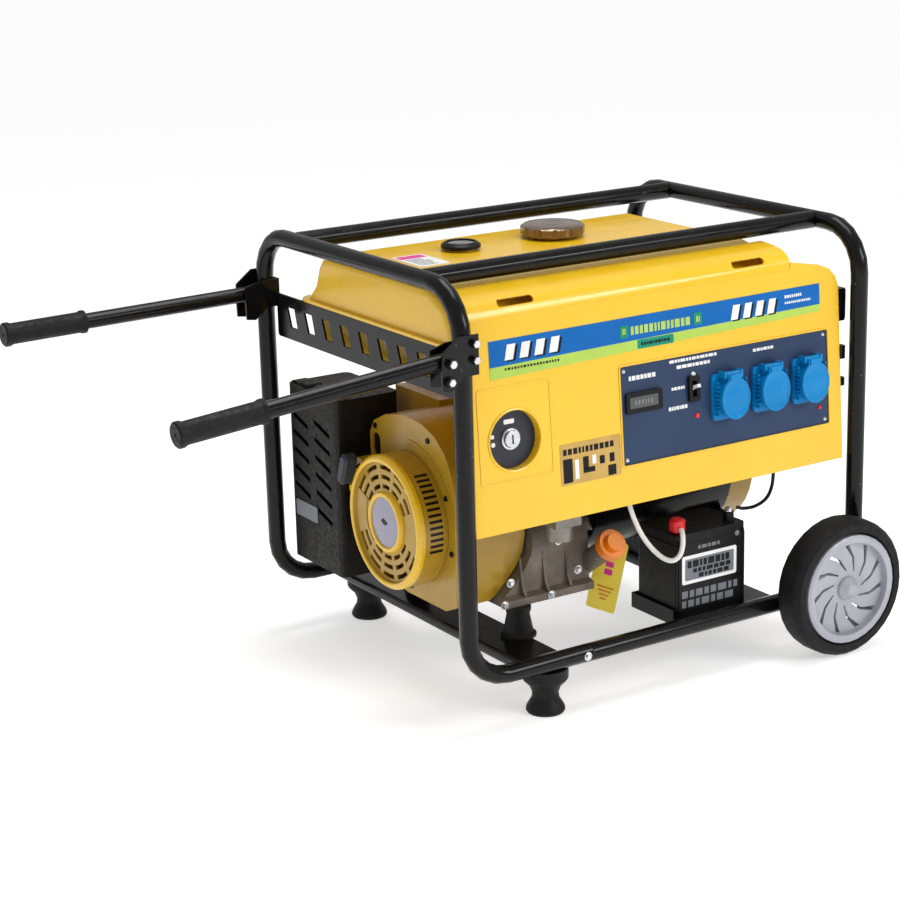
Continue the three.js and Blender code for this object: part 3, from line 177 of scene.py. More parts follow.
def finish(name, colour, rough=0.4, metallic=0.0, coat=0.0, vary=0.1, patch=9.0, grain=500.0, bump=0.15,
           depth=0.0002, rough_spread=0.1, chips=None, edge=0.0, dust=0.0, gloss=0.5):
    """A surface with mottled colour, uneven roughness and fine bump.

    vary is how far the colour strays, in patches of scale patch. grain, bump and depth make the relief.
    chips is the colour of small worn specks, edge the radius that softens corners in metres, dust how
    much settles on faces that look up, and gloss the specular level.
    """
    material = bpy.data.materials.new(name)
    material.use_nodes = True
    nodes, links = material.node_tree.nodes, material.node_tree.links
    shader = nodes["Principled BSDF"]
    shader.inputs["Metallic"].default_value = metallic
    shader.inputs["Coat Weight"].default_value = coat
    shader.inputs["Coat Roughness"].default_value = 0.12
    shader.inputs["Specular IOR Level"].default_value = gloss
    spot = nodes.new("ShaderNodeTexCoord").outputs["Object"]

    def noise(scale, detail):
        made = nodes.new("ShaderNodeTexNoise")
        made.inputs["Scale"].default_value = scale
        made.inputs["Detail"].default_value = detail
        links.new(spot, made.inputs["Vector"])
        return made.outputs["Fac"]

    def mapped(value, low, high, to_low, to_high):
        made = nodes.new("ShaderNodeMapRange")
        for socket, number in zip(made.inputs[1:5], (low, high, to_low, to_high)):
            socket.default_value = number
        links.new(value, made.inputs[0])
        return made.outputs[0]

    def mixed(weight, a, b):
        made = nodes.new("ShaderNodeMix")
        made.data_type = "RGBA"
        links.new(weight, made.inputs[0])
        for socket, value in ((made.inputs[6], a), (made.inputs[7], b)):
            if isinstance(value, tuple):
                socket.default_value = (*value, 1)
            else:
                links.new(value, socket)
        return made.outputs[2]

    def product(a, b):
        made = nodes.new("ShaderNodeMath")
        made.operation = "MULTIPLY"
        links.new(a, made.inputs[0])
        links.new(b, made.inputs[1])
        return made.outputs[0]

    darker = tuple(c * (1 - vary) for c in colour)
    lighter = tuple(min(1.0, c * (1 + vary * 0.6) + 0.0012) for c in colour)
    tone = mixed(mapped(noise(patch, 5.0), 0.3, 0.7, 0, 1), darker, lighter)
    fine = noise(grain, 4.0)
    tone = mixed(mapped(fine, 0.35, 0.75, 0, min(0.35, 3.5 * vary)), tone, darker)
    roughness = mapped(noise(patch * 6, 4.0), 0.3, 0.7, max(0.03, rough - rough_spread),
                       min(1.0, rough + rough_spread))
    if dust:
        geometry = nodes.new("ShaderNodeNewGeometry")
        axes = nodes.new("ShaderNodeSeparateXYZ")
        links.new(geometry.outputs["Normal"], axes.inputs[0])
        upward = mapped(axes.outputs["Z"], 0.3, 1.0, 0, dust)
        patches = mapped(noise(patch * 9, 6.0), 0.35, 0.65, 0.2, 1)
        tone = mixed(product(upward, patches), tone, DUST)
    if chips:
        specks = mapped(noise(230.0, 2.0), 0.70, 0.73, 0, 1)
        zone = mapped(noise(14.0, 3.0), 0.5, 0.6, 0, 1)
        tone = mixed(product(specks, zone), tone, chips)
    links.new(tone, shader.inputs["Base Color"])
    links.new(roughness, shader.inputs["Roughness"])
    relief = nodes.new("ShaderNodeBump")
    relief.inputs["Strength"].default_value = bump
    relief.inputs["Distance"].default_value = depth
    links.new(fine, relief.inputs["Height"])
    if edge:
        softened = nodes.new("ShaderNodeBevel")
        softened.samples = 4
        softened.inputs["Radius"].default_value = edge
        links.new(softened.outputs["Normal"], relief.inputs["Normal"])
    links.new(relief.outputs["Normal"], shader.inputs["Normal"])
    return material


FINISHES = {
    "black_paint": dict(colour=(0.0035, 0.0034, 0.0036), rough=0.2, coat=0.08, vary=0.4, patch=8,
                        grain=260, bump=0.12, depth=0.0003, rough_spread=0.08, chips=(0.09, 0.09, 0.1),
                        edge=0.001, dust=0.015, gloss=0.2),
    "yellow_paint": dict(colour=srgb(243, 194, 22), rough=0.3, coat=0.35, vary=0.05, patch=5, grain=380,
                         bump=0.1, rough_spread=0.08, chips=(0.62, 0.42, 0.08), edge=0.001),
    # Darker yellow: partly the fan shroud's own deeper gold, partly painted shade, and given as painted
    # shade to pieces in shade such as the starter cover's recessed bands.
    "shroud_yellow": dict(colour=srgb(180, 142, 28), rough=0.36, coat=0.2, vary=0.14, patch=12,
                          grain=300, bump=0.2, depth=0.0003, rough_spread=0.12, chips=(0.3, 0.2, 0.05),
                          edge=0.0008, dust=0.06),
    "slate_blue": dict(colour=srgb(46, 64, 94), rough=0.42, patch=8, grain=900, bump=0.2, depth=0.0001,
                       rough_spread=0.08, edge=0.0005, gloss=0.2),
    "socket_blue": dict(colour=srgb(0, 130, 196), rough=0.32, patch=30, grain=800, bump=0.2,
                        depth=0.0001, rough_spread=0.08, edge=0.0008, gloss=0.25),
    "cast_grey": dict(colour=srgb(116, 107, 96), rough=0.5, metallic=0.3, vary=0.32, patch=26,
                      grain=260, bump=0.7, depth=0.0009, rough_spread=0.15, chips=(0.42, 0.4, 0.36),
                      edge=0.0015, dust=0.1),
    "aluminium": dict(colour=srgb(140, 136, 128), rough=0.42, metallic=0.6, vary=0.25, patch=30,
                      grain=300, bump=0.6, depth=0.0006, rough_spread=0.15, edge=0.001, dust=0.1),
    "steel": dict(colour=srgb(205, 206, 210), rough=0.24, metallic=1.0, vary=0.15, patch=40,
                  depth=0.0001, edge=0.0005),
    "bronze_chrome": dict(colour=srgb(140, 116, 96), rough=0.22, metallic=0.85, coat=0.3, vary=0.35,
                          patch=40, grain=300, bump=0.1, depth=0.0001, edge=0.001, dust=0.1),
    "black_plastic": dict(colour=(0.005, 0.005, 0.0055), vary=0.4, patch=20, grain=1400, bump=0.35,
                          rough_spread=0.12, edge=0.0008, dust=0.015, gloss=0.22),
    "dark_grey": dict(colour=srgb(44, 48, 60), rough=0.42, vary=0.2, patch=30, grain=1200, bump=0.25,
                      depth=0.0001, edge=0.0006, gloss=0.35),
    "rubber": dict(colour=(0.006, 0.006, 0.0065), rough=0.55, vary=0.4, patch=25, grain=700, bump=0.4,
                   depth=0.0003, rough_spread=0.12, edge=0.001, dust=0.015, gloss=0.25),
    "tyre_rubber": dict(colour=(0.0075, 0.007, 0.008), rough=0.62, vary=0.4, patch=25, bump=0.5,
                        depth=0.0004, edge=0.001, dust=0.015, gloss=0.22),
    "rim_grey": dict(colour=srgb(168, 170, 178), rough=0.42, metallic=0.1, coat=0.1, vary=0.14,
                     patch=20, grain=700, bump=0.2, depth=0.0001, edge=0.0012, dust=0.06),
    "hot_black": dict(colour=(0.008, 0.0068, 0.006), rough=0.5, metallic=0.1, vary=0.45, patch=30,
                      grain=350, bump=0.6, depth=0.0006, rough_spread=0.15, chips=(0.06, 0.045, 0.035),
                      edge=0.001, dust=0.015, gloss=0.22),
    "orange": dict(colour=srgb(236, 130, 0), rough=0.38, coat=0.1, patch=30, grain=900, bump=0.2,
                   depth=0.0001, rough_spread=0.08, edge=0.001),
    "tag_yellow": dict(colour=srgb(255, 224, 72), coat=0.1, patch=25, bump=0.1, rough_spread=0.08),
    "red": dict(colour=srgb(220, 18, 28), rough=0.35, coat=0.1, vary=0.15, patch=40, grain=900,
                bump=0.2, depth=0.0001, rough_spread=0.08, edge=0.001),
    "white_lead": dict(colour=srgb(240, 238, 234), rough=0.38, vary=0.08, patch=40, grain=1200,
                       depth=0.0001, rough_spread=0.08),
    "mark_gold": dict(colour=srgb(196, 158, 78), rough=0.34, metallic=0.3, coat=0.2, vary=0.15,
                      patch=40, grain=700, bump=0.1, depth=0.0001),
    "medallion": dict(colour=srgb(152, 148, 168), rough=0.3, metallic=0.3, coat=0.2, vary=0.05,
                      patch=20, grain=900, bump=0.03, depth=0.00005, rough_spread=0.05),
    "zinc": dict(colour=srgb(214, 214, 218), rough=0.26, metallic=1.0, vary=0.12, patch=60, bump=0.1,
                 depth=0.0001, edge=0.0004),
    "rope": dict(colour=(0.02, 0.02, 0.021), rough=0.7, vary=0.3, patch=200, grain=1800, bump=0.6,
                 gloss=0.2),
    "gauge_glass": dict(colour=srgb(26, 27, 30), rough=0.08, coat=1.0, vary=0.2, patch=30, bump=0.02,
                        depth=0.0001, rough_spread=0.03),
}
INKS = {                                # flat printed colours and lenses, 0 to 255 sRGB
    "band_blue": (0, 100, 178), "band_green": (178, 208, 92), "mark_teal": (20, 140, 112),
    "mark_white": (240, 240, 240), "mark_dark": (14, 14, 18), "mark_grey": (120, 122, 130),
    "mark_pink": (226, 62, 150), "lens_red": (236, 60, 60),
}
INK = dict(rough=0.32, vary=0.08, patch=30, grain=900, bump=0.05, depth=0.0001, rough_spread=0.06, gloss=0.2)
M = {name: finish(name, **look) for name, look in FINISHES.items()}
M.update({name: finish(name, srgb(*tint), **INK) for name, tint in INKS.items()})


def soften_group(degrees):
    """Welds the facets and shades them smooth, except across edges sharper than the angle."""
    group = bpy.data.node_groups.new("soft_facets", "GeometryNodeTree")
    group.interface.new_socket("Geometry", in_out="INPUT", socket_type="NodeSocketGeometry")
    group.interface.new_socket("Geometry", in_out="OUTPUT", socket_type="NodeSocketGeometry")
    start, end = group.nodes.new("NodeGroupInput"), group.nodes.new("NodeGroupOutput")
    weld = group.nodes.new("GeometryNodeMergeByDistance")
    weld.inputs["Distance"].default_value = 2e-6
    drop = group.nodes.new("GeometryNodeRemoveAttribute")
    drop.inputs["Name"].default_value = "custom_normal"
    smooth = group.nodes.new("GeometryNodeSetShadeSmooth")
    smooth.domain = "FACE"
    sharp = group.nodes.new("GeometryNodeSetShadeSmooth")
    sharp.domain = "EDGE"
    sharp.inputs["Shade Smooth"].default_value = False
    angle = group.nodes.new("GeometryNodeInputMeshEdgeAngle")
    over = group.nodes.new("FunctionNodeCompare")
    over.data_type = "FLOAT"
    over.operation = "GREATER_THAN"
    over.inputs[1].default_value = math.radians(degrees)
    group.links.new(angle.outputs["Unsigned Angle"], over.inputs[0])
    group.links.new(over.outputs[0], sharp.inputs["Selection"])
    chain = [start, weld, drop, smooth, sharp, end]
    for a, b in zip(chain, chain[1:]):
        group.links.new(a.outputs["Geometry"], b.inputs["Geometry"])
    return group


SOFT = soften_group(34)
slot_of = {row["node"]: row["material_slot"] for row in frame["record"]["subparts"]}
for node_name, node in frame["nodes"].items():
    node.material_slots[0].material = M[slot_of[node_name]]
    node.modifiers.new("soft_facets", "NODES").node_group = SOFT
    weighted = node.modifiers.new("flat_faces", "WEIGHTED_NORMAL")
    weighted.keep_sharp = True
    weighted.weight = 100


# ---- mesh making ----------------------------------------------------------------------------

# Where an outline's two numbers and the distance along an axis go.
ALONG = {"x": lambda a, b, t: (t, a, b), "y": lambda a, b, t: (a, t, b), "z": lambda a, b, t: (a, b, t)}


class Shape:
    """Collects closed forms in one frame, in millimetres, and makes them one mesh piece."""

    def __init__(self, frame_of=SET):
        self.verts, self.faces, self.frame = [], [], frame_of

    def add(self, verts, faces):
        first = len(self.verts)
        self.verts += [Vector(v) for v in verts]
        self.faces += [[first + i for i in face] for face in faces]
        return self

    def prism(self, outline, low, high, axis="y"):
        """An outline swept along an axis: (x, z) along y, (y, z) along x, (x, y) along z."""
        put, n = ALONG[axis], len(outline)
        verts = [put(a, b, t) for t in (low, high) for a, b in outline]
        sides = [[i, (i + 1) % n, n + (i + 1) % n, n + i] for i in range(n)]
        return self.add(verts, [list(range(n))[::-1], list(range(n, 2 * n)), *sides])

    def turned(self, centre, profile, axis="x", sides=32):
        """A closed ring or disc: (radius, distance) pairs turned about an axis through the centre."""
        put, n, verts, faces = ALONG[axis], len(profile), [], []
        for s in range(sides):
            angle = 2 * math.pi * s / sides
            for r, t in profile:
                x, y, z = put(r * math.cos(angle), r * math.sin(angle), t)
                verts.append((centre[0] + x, centre[1] + y, centre[2] + z))
        for s in range(sides):
            nxt = (s + 1) % sides
            faces += [[s * n + i, nxt * n + i, nxt * n + (i + 1) % n, s * n + (i + 1) % n]
                      for i in range(n)]
        return self.add(verts, faces)

    def make(self, name, material, body, slot=None, smooth=35, bevel=0.0):
        """Makes the piece."""
        mesh = bpy.data.meshes.new(name)
        mesh.from_pydata([self.frame @ v for v in self.verts], [], self.faces)
        mesh.validate()
        loose = bmesh.new()
        loose.from_mesh(mesh)
        bmesh.ops.remove_doubles(loose, verts=loose.verts, dist=1e-7)
        bmesh.ops.recalc_face_normals(loose, faces=loose.faces)
        loose.to_mesh(mesh)
        loose.free()
        mesh.shade_smooth()
        mesh.set_sharp_from_angle(angle=math.radians(smooth))
        piece = bpy.data.objects.new(name, mesh)
        bpy.context.scene.collection.objects.link(piece)
        piece.data.materials.append(M[material])
        if bevel:
            edges = piece.modifiers.new("rounded", "BEVEL")
            edges.width = bevel * MM
            edges.segments = 2
            edges.limit_method = "ANGLE"
            edges.harden_normals = True
        if body:
            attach(piece, body)
        return piece


def rounded(x0, x1, z0, z1, r, steps=4):
    """Outline of a rectangle with round corners."""
    points = []
    for cx, cz, start in ((x1 - r, z1 - r, 0), (x0 + r, z1 - r, 90), (x0 + r, z0 + r, 180),
                          (x1 - r, z0 + r, 270)):
        for i in range(steps + 1):
            angle = math.radians(start + 90 * i / steps)
            points.append((cx + r * math.cos(angle), cz + r * math.sin(angle)))
    return points


def circle(cx, cz, r, sides):
    turns = [2 * math.pi * i / sides for i in range(sides)]
    return [(cx + r * math.cos(a), cz + r * math.sin(a)) for a in turns]


def slanted(x0, x1, z0, z1, lean):
    """Outline of a block whose top is set over by lean."""
    return [(x0, z0), (x1, z0), (x1 + lean, z1), (x0 + lean, z1)]


def dashes(shape, x0, x1, z0, z1, low, high, seed, gap=1.2, widths=(1.5, 4.0)):
    """A row of plain blocks of uneven width, which says nothing."""
    dice = random.Random(seed)
    x = x0
    while x < x1 - widths[0]:
        wide = min(dice.uniform(*widths), x1 - x)
        shape.prism([(x, z0), (x + wide, z0), (x + wide, z1), (x, z1)], low, high)
        x += wide + gap
    return shape


# ---- leads ----------------------------------------------------------------------------------

def catmull(points, per=8):
    """A smooth line through the points, as the CAD's tube follows it."""
    padded = [2 * points[0] - points[1], *points, 2 * points[-1] - points[-2]]
    line = []
    for a, b, c, d in zip(padded, padded[1:], padded[2:], padded[3:]):
        for i in range(per):
            t = i / per
            line.append(0.5 * (2 * b + (c - a) * t + (2 * a - 5 * b + 4 * c - d) * t * t
                               + (3 * b - a - 3 * c + d) * t ** 3))
    return [*line, points[-1]]


def add_lead(name, node, route, radius, material):
    """A battery lead along its CAD tube's route, going back into the set at both ends."""
    line = catmull([place(*p) for p in route])
    data = bpy.data.curves.new(name, "CURVE")
    data.dimensions = "3D"
    data.bevel_depth = radius * MM
    data.bevel_resolution = 5
    data.use_fill_caps = True
    spline = data.splines.new("POLY")
    spline.points.add(len(line) - 1)
    for point, at in zip(spline.points, line):
        point.co = (*at, 1)
    data.materials.append(M[material])
    lead = bpy.data.objects.new(name, data)
    bpy.context.scene.collection.objects.link(lead)
    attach(lead, "set")
    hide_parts(node)


# The routes of the CAD tubes, in the set's own millimetres.
POSITIVE_ROUTE = [(-37, -201, 290), (-31, -202, 264), (-24, -205, 236), (-14, -211, 209), (-4, -222, 189),
                  (5, -235, 177), (14, -245, 174), (23, -249, 181), (28, -249, 194), (31, -245, 207),
                  (34, -238, 213)]
NEGATIVE_ROUTE = [(197, -240, 292), (196, -240, 268), (193, -240, 246), (184, -239, 230), (168, -235, 221),
                  (152, -229, 219), (142.5, -225, 221.5)]
add_lead("positive_cable", "positive_lead", POSITIVE_ROUTE, 3.5, "white_lead")
add_lead("negative_cable", "negative_lead", NEGATIVE_ROUTE, 2.5, "black_plastic")


# ---- cowl markings --------------------------------------------------------------------------

def add_cowl_band():
    """Two-colour self-adhesive band along the cowl, with plain bars where the real one is lettered."""
    x0, x1 = -280, 271
    # heights at the band's two ends: lower edge, where the colours meet, upper edge
    low, step, high = (up(474), up(488)), (up(490), up(498)), (up(524), up(527))
    skin, over, top = (-0.45, -0.1), (-0.75, -0.46), (-1.0, -0.76)      # layers, from the face outward
    blue = [(x0, step[0]), (x1, step[1]), (x1, high[1]), (x0, high[0])]
    green = [(x0, low[0]), (x1, low[1]), (x1, step[1]), (x0, step[0])]
    Shape(PANEL).prism(blue, *skin).make("band_blue", "band_blue", "set")
    Shape(PANEL).prism(green, *skin).make("band_green", "band_green", "set")
    white, shade = Shape(PANEL), Shape(PANEL)
    for start, size in ((-257, 1.0), (112, 0.92)):
        for i in range(4):
            x = start + i * 23 * size
            shade.prism(slanted(x + 3, x + 17 * size, up(495), up(515), 5), *over)
            white.prism(slanted(x, x + 13 * size, up(497), up(517), 5), *top)
    shade.make("band_bar_shadows", "mark_dark", "set")
    white.make("band_bars", "mark_white", "set")
    teal = Shape(PANEL)
    teal.prism(rounded(-74, -60, up(498), up(515), 2), *over)
    teal.prism(rounded(49, 63, up(499), up(516), 2), *over)
    teal.prism(rounded(-46, 14, up(481), up(493), 2), *over)
    teal.make("band_blocks", "mark_teal", "set")
    pale = Shape(PANEL)
    dashes(pale, -56, 45, up(501), up(512), *over, seed=3, gap=2.4, widths=(3, 8))
    dashes(pale, -70, -64, up(503), up(511), *top, seed=4)
    dashes(pale, 53, 59, up(503), up(511), *top, seed=5)
    pale.make("band_dashes", "band_green", "set")
    small = Shape(PANEL)
    dashes(small, 208, 238, up(514), up(518), *over, seed=6)
    dashes(small, 208, 254, up(506), up(509), *over, seed=7)
    small.make("band_small_dashes", "mark_white", "set")
    dim = Shape(PANEL)
    dashes(dim, -257, -172, up(484), up(487), *over, seed=8, gap=2, widths=(2, 4))
    dashes(dim, -40, 8, up(485), up(489), *top, seed=9, gap=1.5, widths=(2, 5))
    dim.make("band_low_dashes", "mark_dark", "set")


def frame_outline(shape, outer, inner, low, high):
    """A flat ring between two outlines with the same number of points."""
    n = len(outer)
    verts = [(x, t, z) for t in (low, high) for ring in (outer, inner) for x, z in ring]
    faces = []
    for i in range(n):
        j = (i + 1) % n
        faces += [[i, j, n + j, n + i], [2 * n + i, 3 * n + i, 3 * n + j, 2 * n + j],
                  [i, 2 * n + i, 2 * n + j, j], [n + i, n + j, 3 * n + j, 3 * n + i]]
    return shape.add(verts, faces)


KEY_CENTRE = (-247, up(392))


def add_cowl_details():
    """Pressed square, the lips of the key pocket and control plate, and the data plate with its blocks."""
    ridge = Shape(PANEL)
    frame_outline(ridge, rounded(-303, -188, up(338), up(465), 6), rounded(-300, -191, up(341), up(462), 4),
                  -0.7, -0.05)
    ridge.make("cowl_pressed_square", "yellow_paint", "set", "yellow_paint", bevel=0.3)
    x, z = KEY_CENTRE
    lip = [(39.2, 0.5), (39.2, -1.0), (40.6, -1.5), (42, -1.0), (42.6, -0.05), (42.6, 0.5)]
    Shape(PANEL).turned((x, 0, z), lip, "y", 48).make("key_pocket_lip", "yellow_paint", "set",
                                                      "yellow_paint")
    rim = Shape(PANEL)
    frame_outline(rim, rounded(-79, 285, up(325), up(463), 5),
                  rounded(-76.6, 282.6, up(327.4), up(460.6), 3), -1.1, -0.05)
    rim.make("control_plate_edge", "yellow_paint", "set", "yellow_paint", bevel=0.3)
    plate = Shape(PANEL).prism(rounded(-179, -81, up(318), up(373), 2), -0.5, -0.1)
    plate.make("data_plate", "mark_gold", "set")
    dark, light = Shape(PANEL), Shape(PANEL)
    ink = (-0.72, -0.52)
    for x0, x1, low, high in ((-175, -160, 321, 353), (-143, -134, 334, 352), (-143, -124, 330, 337),
                              (-116, -108, 338, 349), (-103, -90, 320, 334), (-100, -92, 338, 350)):
        dark.prism(rounded(x0, x1, up(low), up(high), 1), *ink)
    dashes(dark, -174, -92, up(358), up(366), *ink, seed=12, gap=2.2, widths=(3, 8))
    for x0, x1, low, high in ((-156, -150, 324, 350), (-128, -122, 340, 352)):
        light.prism(rounded(x0, x1, up(low), up(high), 1), *ink)
    dark.make("data_plate_dark", "mark_dark", "set")
    light.make("data_plate_light", "mark_white", "set")


def add_cowl_tabs():
    """Two small angle tabs that hold the cowl's edge to the leg of the wheel end hoop."""
    tabs = Shape()
    for low, high in ((415, 434), (376, 388)):
        tabs.prism([(305.6, low), (314, low), (314, high), (305.6, high)], -252, -249)
        tabs.prism([(311.5, low), (314, low), (314, high), (311.5, high)], -249, -238)
    tabs.make("cowl_tabs", "black_paint", "set", "black_paint", bevel=0.4)


def add_key_face():
    """Printed marks round the key switch, and its collar, on the floor of the pocket."""
    x, z = KEY_CENTRE
    ink = (11.0, 11.4)
    marks = Shape(PANEL)
    marks.prism(rounded(x - 9, x + 7, z + 20, z + 26, 1.5), *ink)
    marks.prism(circle(x - 27, z - 4, 3.2, 16), *ink)
    marks.prism(rounded(x - 30, x - 25, z + 4, z + 9, 1), *ink)
    marks.make("key_marks", "mark_white", "set")
    collar = [(11.6, 11.4), (14.5, 11.4), (14.5, 9.2), (13.4, 8.4), (11.6, 8.4)]
    Shape(PANEL).turned((x, 0, z), collar, "y", 32).make("key_collar", "zinc", "set", "steel")


def add_control_face():
    """Rows of plain blocks, pilot lamps, screws, and the meter's window, on the control plate."""
    ink = (0.5, 0.95)
    marks = Shape(PANEL)
    rows = ((-62, -18, 440, 446, 1.4, (3, 7)), (6, 90, 453, 457, 1.4, (3, 8)),
            (18, 76, 444, 448.5, 1.4, (3, 8)), (150, 188, 448, 452, 1.4, (3, 6)),
            (8, 30, 416, 420, 1.2, (2, 5)), (2, 34, 389, 394, 1.2, (2, 5)))
    for seed, (x0, x1, low, high, gap, widths) in enumerate(rows, 21):
        dashes(marks, x0, x1, up(low), up(high), *ink, seed=seed, gap=gap, widths=widths)
    marks.make("control_marks", "mark_white", "set")
    lamp = [(0.05, -2.2), (2.2, -2.0), (3.4, -0.8), (3.6, 0.9), (0.05, 0.9)]
    Shape(PANEL).turned((45, 0, up(433)), lamp, "y", 20).make("pilot_lamp", "mark_white", "set")
    red = Shape(PANEL).turned((49, 0, up(376)), lamp, "y", 20)
    red.turned((266, 0, up(352)), [(r * 0.8, t) for r, t in lamp], "y", 16)
    red.make("fault_lamps", "lens_red", "set")
    screws = Shape(PANEL)
    for x in (-70, 276):
        for z in (334, 454):
            screws.turned((x, 0, up(z)), [(0.05, -0.7), (1.8, -0.5), (3.0, 0.9), (0.05, 0.9)], "y", 16)
    screws.make("control_screws", "zinc", "set", "steel")
    glass = Shape(PANEL).prism(rounded(-63.6, -16.4, up(410) - 7.6, up(410) + 7.6, 1), -2.2, -1.99)
    glass.make("meter_glass", "gauge_glass", "set")
    digits = dashes(Shape(PANEL), -56, -24, up(407), up(413), -2.5, -2.25, seed=27, gap=2.0,
                    widths=(2.5, 4.0))
    digits.make("meter_marks", "mark_grey", "set")


def add_lid_faces():
    """Raised rim, shallow crown and pressed finger ribs on each outlet lid."""
    profile = [(25.6, -20.6), (24.4, -21.8), (21.8, -21.6), (20.6, -20.9), (12, -21.8), (0.05, -22.3),
               (0.05, -20.32), (25.0, -20.32)]
    narrow, tall = 24.8 / 25.6, 28.5 / 25       # the lid is a little taller than it is wide
    z = up(394)
    for i, x in enumerate((101, 172, 243), 1):
        face = Shape(PANEL).turned((x, 0, z), profile, "y", 48)
        for v in face.verts:
            v.z = z + (v.z - z) * tall
            v.x = x + (v.x - x) * narrow
        face.make(f"lid_face_{i}", "socket_blue", f"lid_{i}", "socket_blue")
        tab = Shape(PANEL).prism(rounded(x - 9.5, x + 9.5, z + 27, z + 33.5, 2), -22.4, -20.35)
        tab.make(f"lid_tab_{i}", "socket_blue", f"lid_{i}", "socket_blue", bevel=0.6)
        ribs = Shape(PANEL)
        for k in range(9):
            low = z - 22 + 5.5 * k
            for left in (x - 25.6, x + 23.4):
                ribs.prism(slanted(left, left + 2.2, low, low + 2.4, 0), -14, -5)
        ribs.make(f"collar_ribs_{i}", "socket_blue", "set", "socket_blue")


# ---- bolts ----------------------------------------------------------------------------------

def hex_bolt(shape, at, r, tall, axis, sign=1, washer=True):
    """Hexagon head with a chamfered top on a flat washer, standing off a face at that point."""
    base = 0.0
    if washer:
        base = sign * 0.22 * r
        shape.turned(at, [(0.05, 0.0), (1.5 * r, 0.0), (1.5 * r, base), (0.05, base)], axis, 20)
    top = base + sign * tall
    head = [(0.05, base), (r, base), (r, base + sign * tall * 0.8), (0.8 * r, top), (0.05, top)]
    shape.turned(at, head, axis, 6)


def add_bolts():
    """Bolts of the handle brackets and bottom tubes, and a pivot bolt at each handle."""
    zinc = Shape()
    for side in (-1, 1):
        name = "panel_side" if side < 0 else "rear_side"
        low, high = (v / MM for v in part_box(f"handle_bracket_{name}"))
        face = low.y if side < 0 else high.y
        for x, z in ((-322, 535), (-322, 514), (-359, 491)):
            hex_bolt(zinc, (x, face - side * 0.8, z), 5.2, 3.0, "y", side, washer=False)
    for side in (-1, 1):
        hex_bolt(zinc, (-150, side * 272.3, 80), 4.0, 3.0, "y", side)
    zinc.make("frame_bolts", "zinc", "set", "steel", bevel=0.25)
    for side, body in ((-1, "handle_panel_side"), (1, "handle_rear_side")):
        one = Shape()
        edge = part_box(body.replace("handle_", "handle_bracket_"))[0 if side < 0 else 1].y / MM
        hex_bolt(one, (-357, edge - side * 0.8, 514), 5.6, 3.4, "y", side, washer=False)
        one.make(f"pivot_bolt_{body}", "zinc", "set", "steel", bevel=0.25)


# ---- engine ---------------------------------------------------------------------------------

def add_recoil_details():
    """Raised rings, medallion and its mark, recessed bands, rims and a lug on the starter cover, with dark
    blocks as painted shade in its side slots.
    """
    front = own_x(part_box("recoil_cover")[0])
    centre = (front, SHAFT_Y, SHAFT_Z)
    ring = [(84.6, 0.5), (85, -0.6), (86.5, -1.6), (89, -1.8), (91.4, -0.6), (94.4, 3.5), (94.4, 9), (92, 9)]
    Shape().turned(centre, ring, "x", 64).make("cover_outer_ring", "yellow_paint", "set", "yellow_paint")
    inner = [(35.4, 3.3), (35.6, 0.6), (37.2, -0.8), (41.2, -0.6), (43, 1.4), (44, 5.3), (40, 5.3)]
    Shape().turned(centre, inner, "x", 48).make("cover_inner_ring", "yellow_paint", "set", "yellow_paint")
    disc = [(0.05, 0.6), (28, 0.8), (35.2, 1.6), (35.2, 3.0), (0.05, 3.0)]
    Shape().turned(centre, disc, "x", 48).make("cover_medallion", "medallion", "set")
    mark = Shape()
    mark.prism([(SHAFT_Y + a, SHAFT_Z + b) for a, b in ((-9, 1), (3, 6), (9, 1), (-2, -4))],
               front + 0.2, front + 0.7, "x")
    mark.make("medallion_mark", "mark_dark", "set")
    # Recessed bands on the cover's face in the darker shroud yellow: painted shade in the recesses.
    recess_shade = Shape()
    turns = [math.radians(a) for a in range(-24, 25, 4)]
    for side in (-1, 1):
        outline = [(SHAFT_Y + side * r * math.cos(a), SHAFT_Z + r * math.sin(a))
                   for r, arc in ((81, turns), (54, turns[::-1])) for a in arc]
        recess_shade.prism(outline, front + 3.9, front + 5.2, "x")
    recess_shade.make("cover_recess_shade", "shroud_yellow", "set", "shroud_yellow", bevel=0.5)
    # Dark blocks set into the cover's side slots: painted shade for the inside of the openings.
    slot_shade = Shape()
    for i in range(14):
        angle = math.radians(-14 + 5.2 * i)
        side = Vector((0, -math.cos(angle), math.sin(angle)))
        along = Vector((0, math.sin(angle), math.cos(angle)))
        corners = []
        for r in (93.2, 94.35):
            for across in (-1.9, 1.9):
                for x in (front + 17, front + 37):
                    corners.append(Vector((x, SHAFT_Y, SHAFT_Z)) + side * r + along * across)
        slot_shade.add(corners, [[0, 1, 3, 2], [4, 6, 7, 5], [0, 4, 5, 1], [2, 3, 7, 6], [0, 2, 6, 4],
                            [1, 5, 7, 3]])
    slot_shade.make("cover_side_slot_shade", "mark_dark", "set")
    rims = Shape()
    for x in (front + 14.5, front + 39.5):
        rims.turned((x, SHAFT_Y, SHAFT_Z), [(93.6, -1.2), (94.5, -0.8), (94.5, 0.8), (93.6, 1.2)], "x", 64)
    rims.make("cover_vent_rims", "shroud_yellow", "set", "shroud_yellow")
    lug = Shape().prism(rounded(78, 90, 250, 262, 4), front + 8, front + 20, "x")
    lug.make("cover_lug", "yellow_paint", "set", "yellow_paint", bevel=1.5)


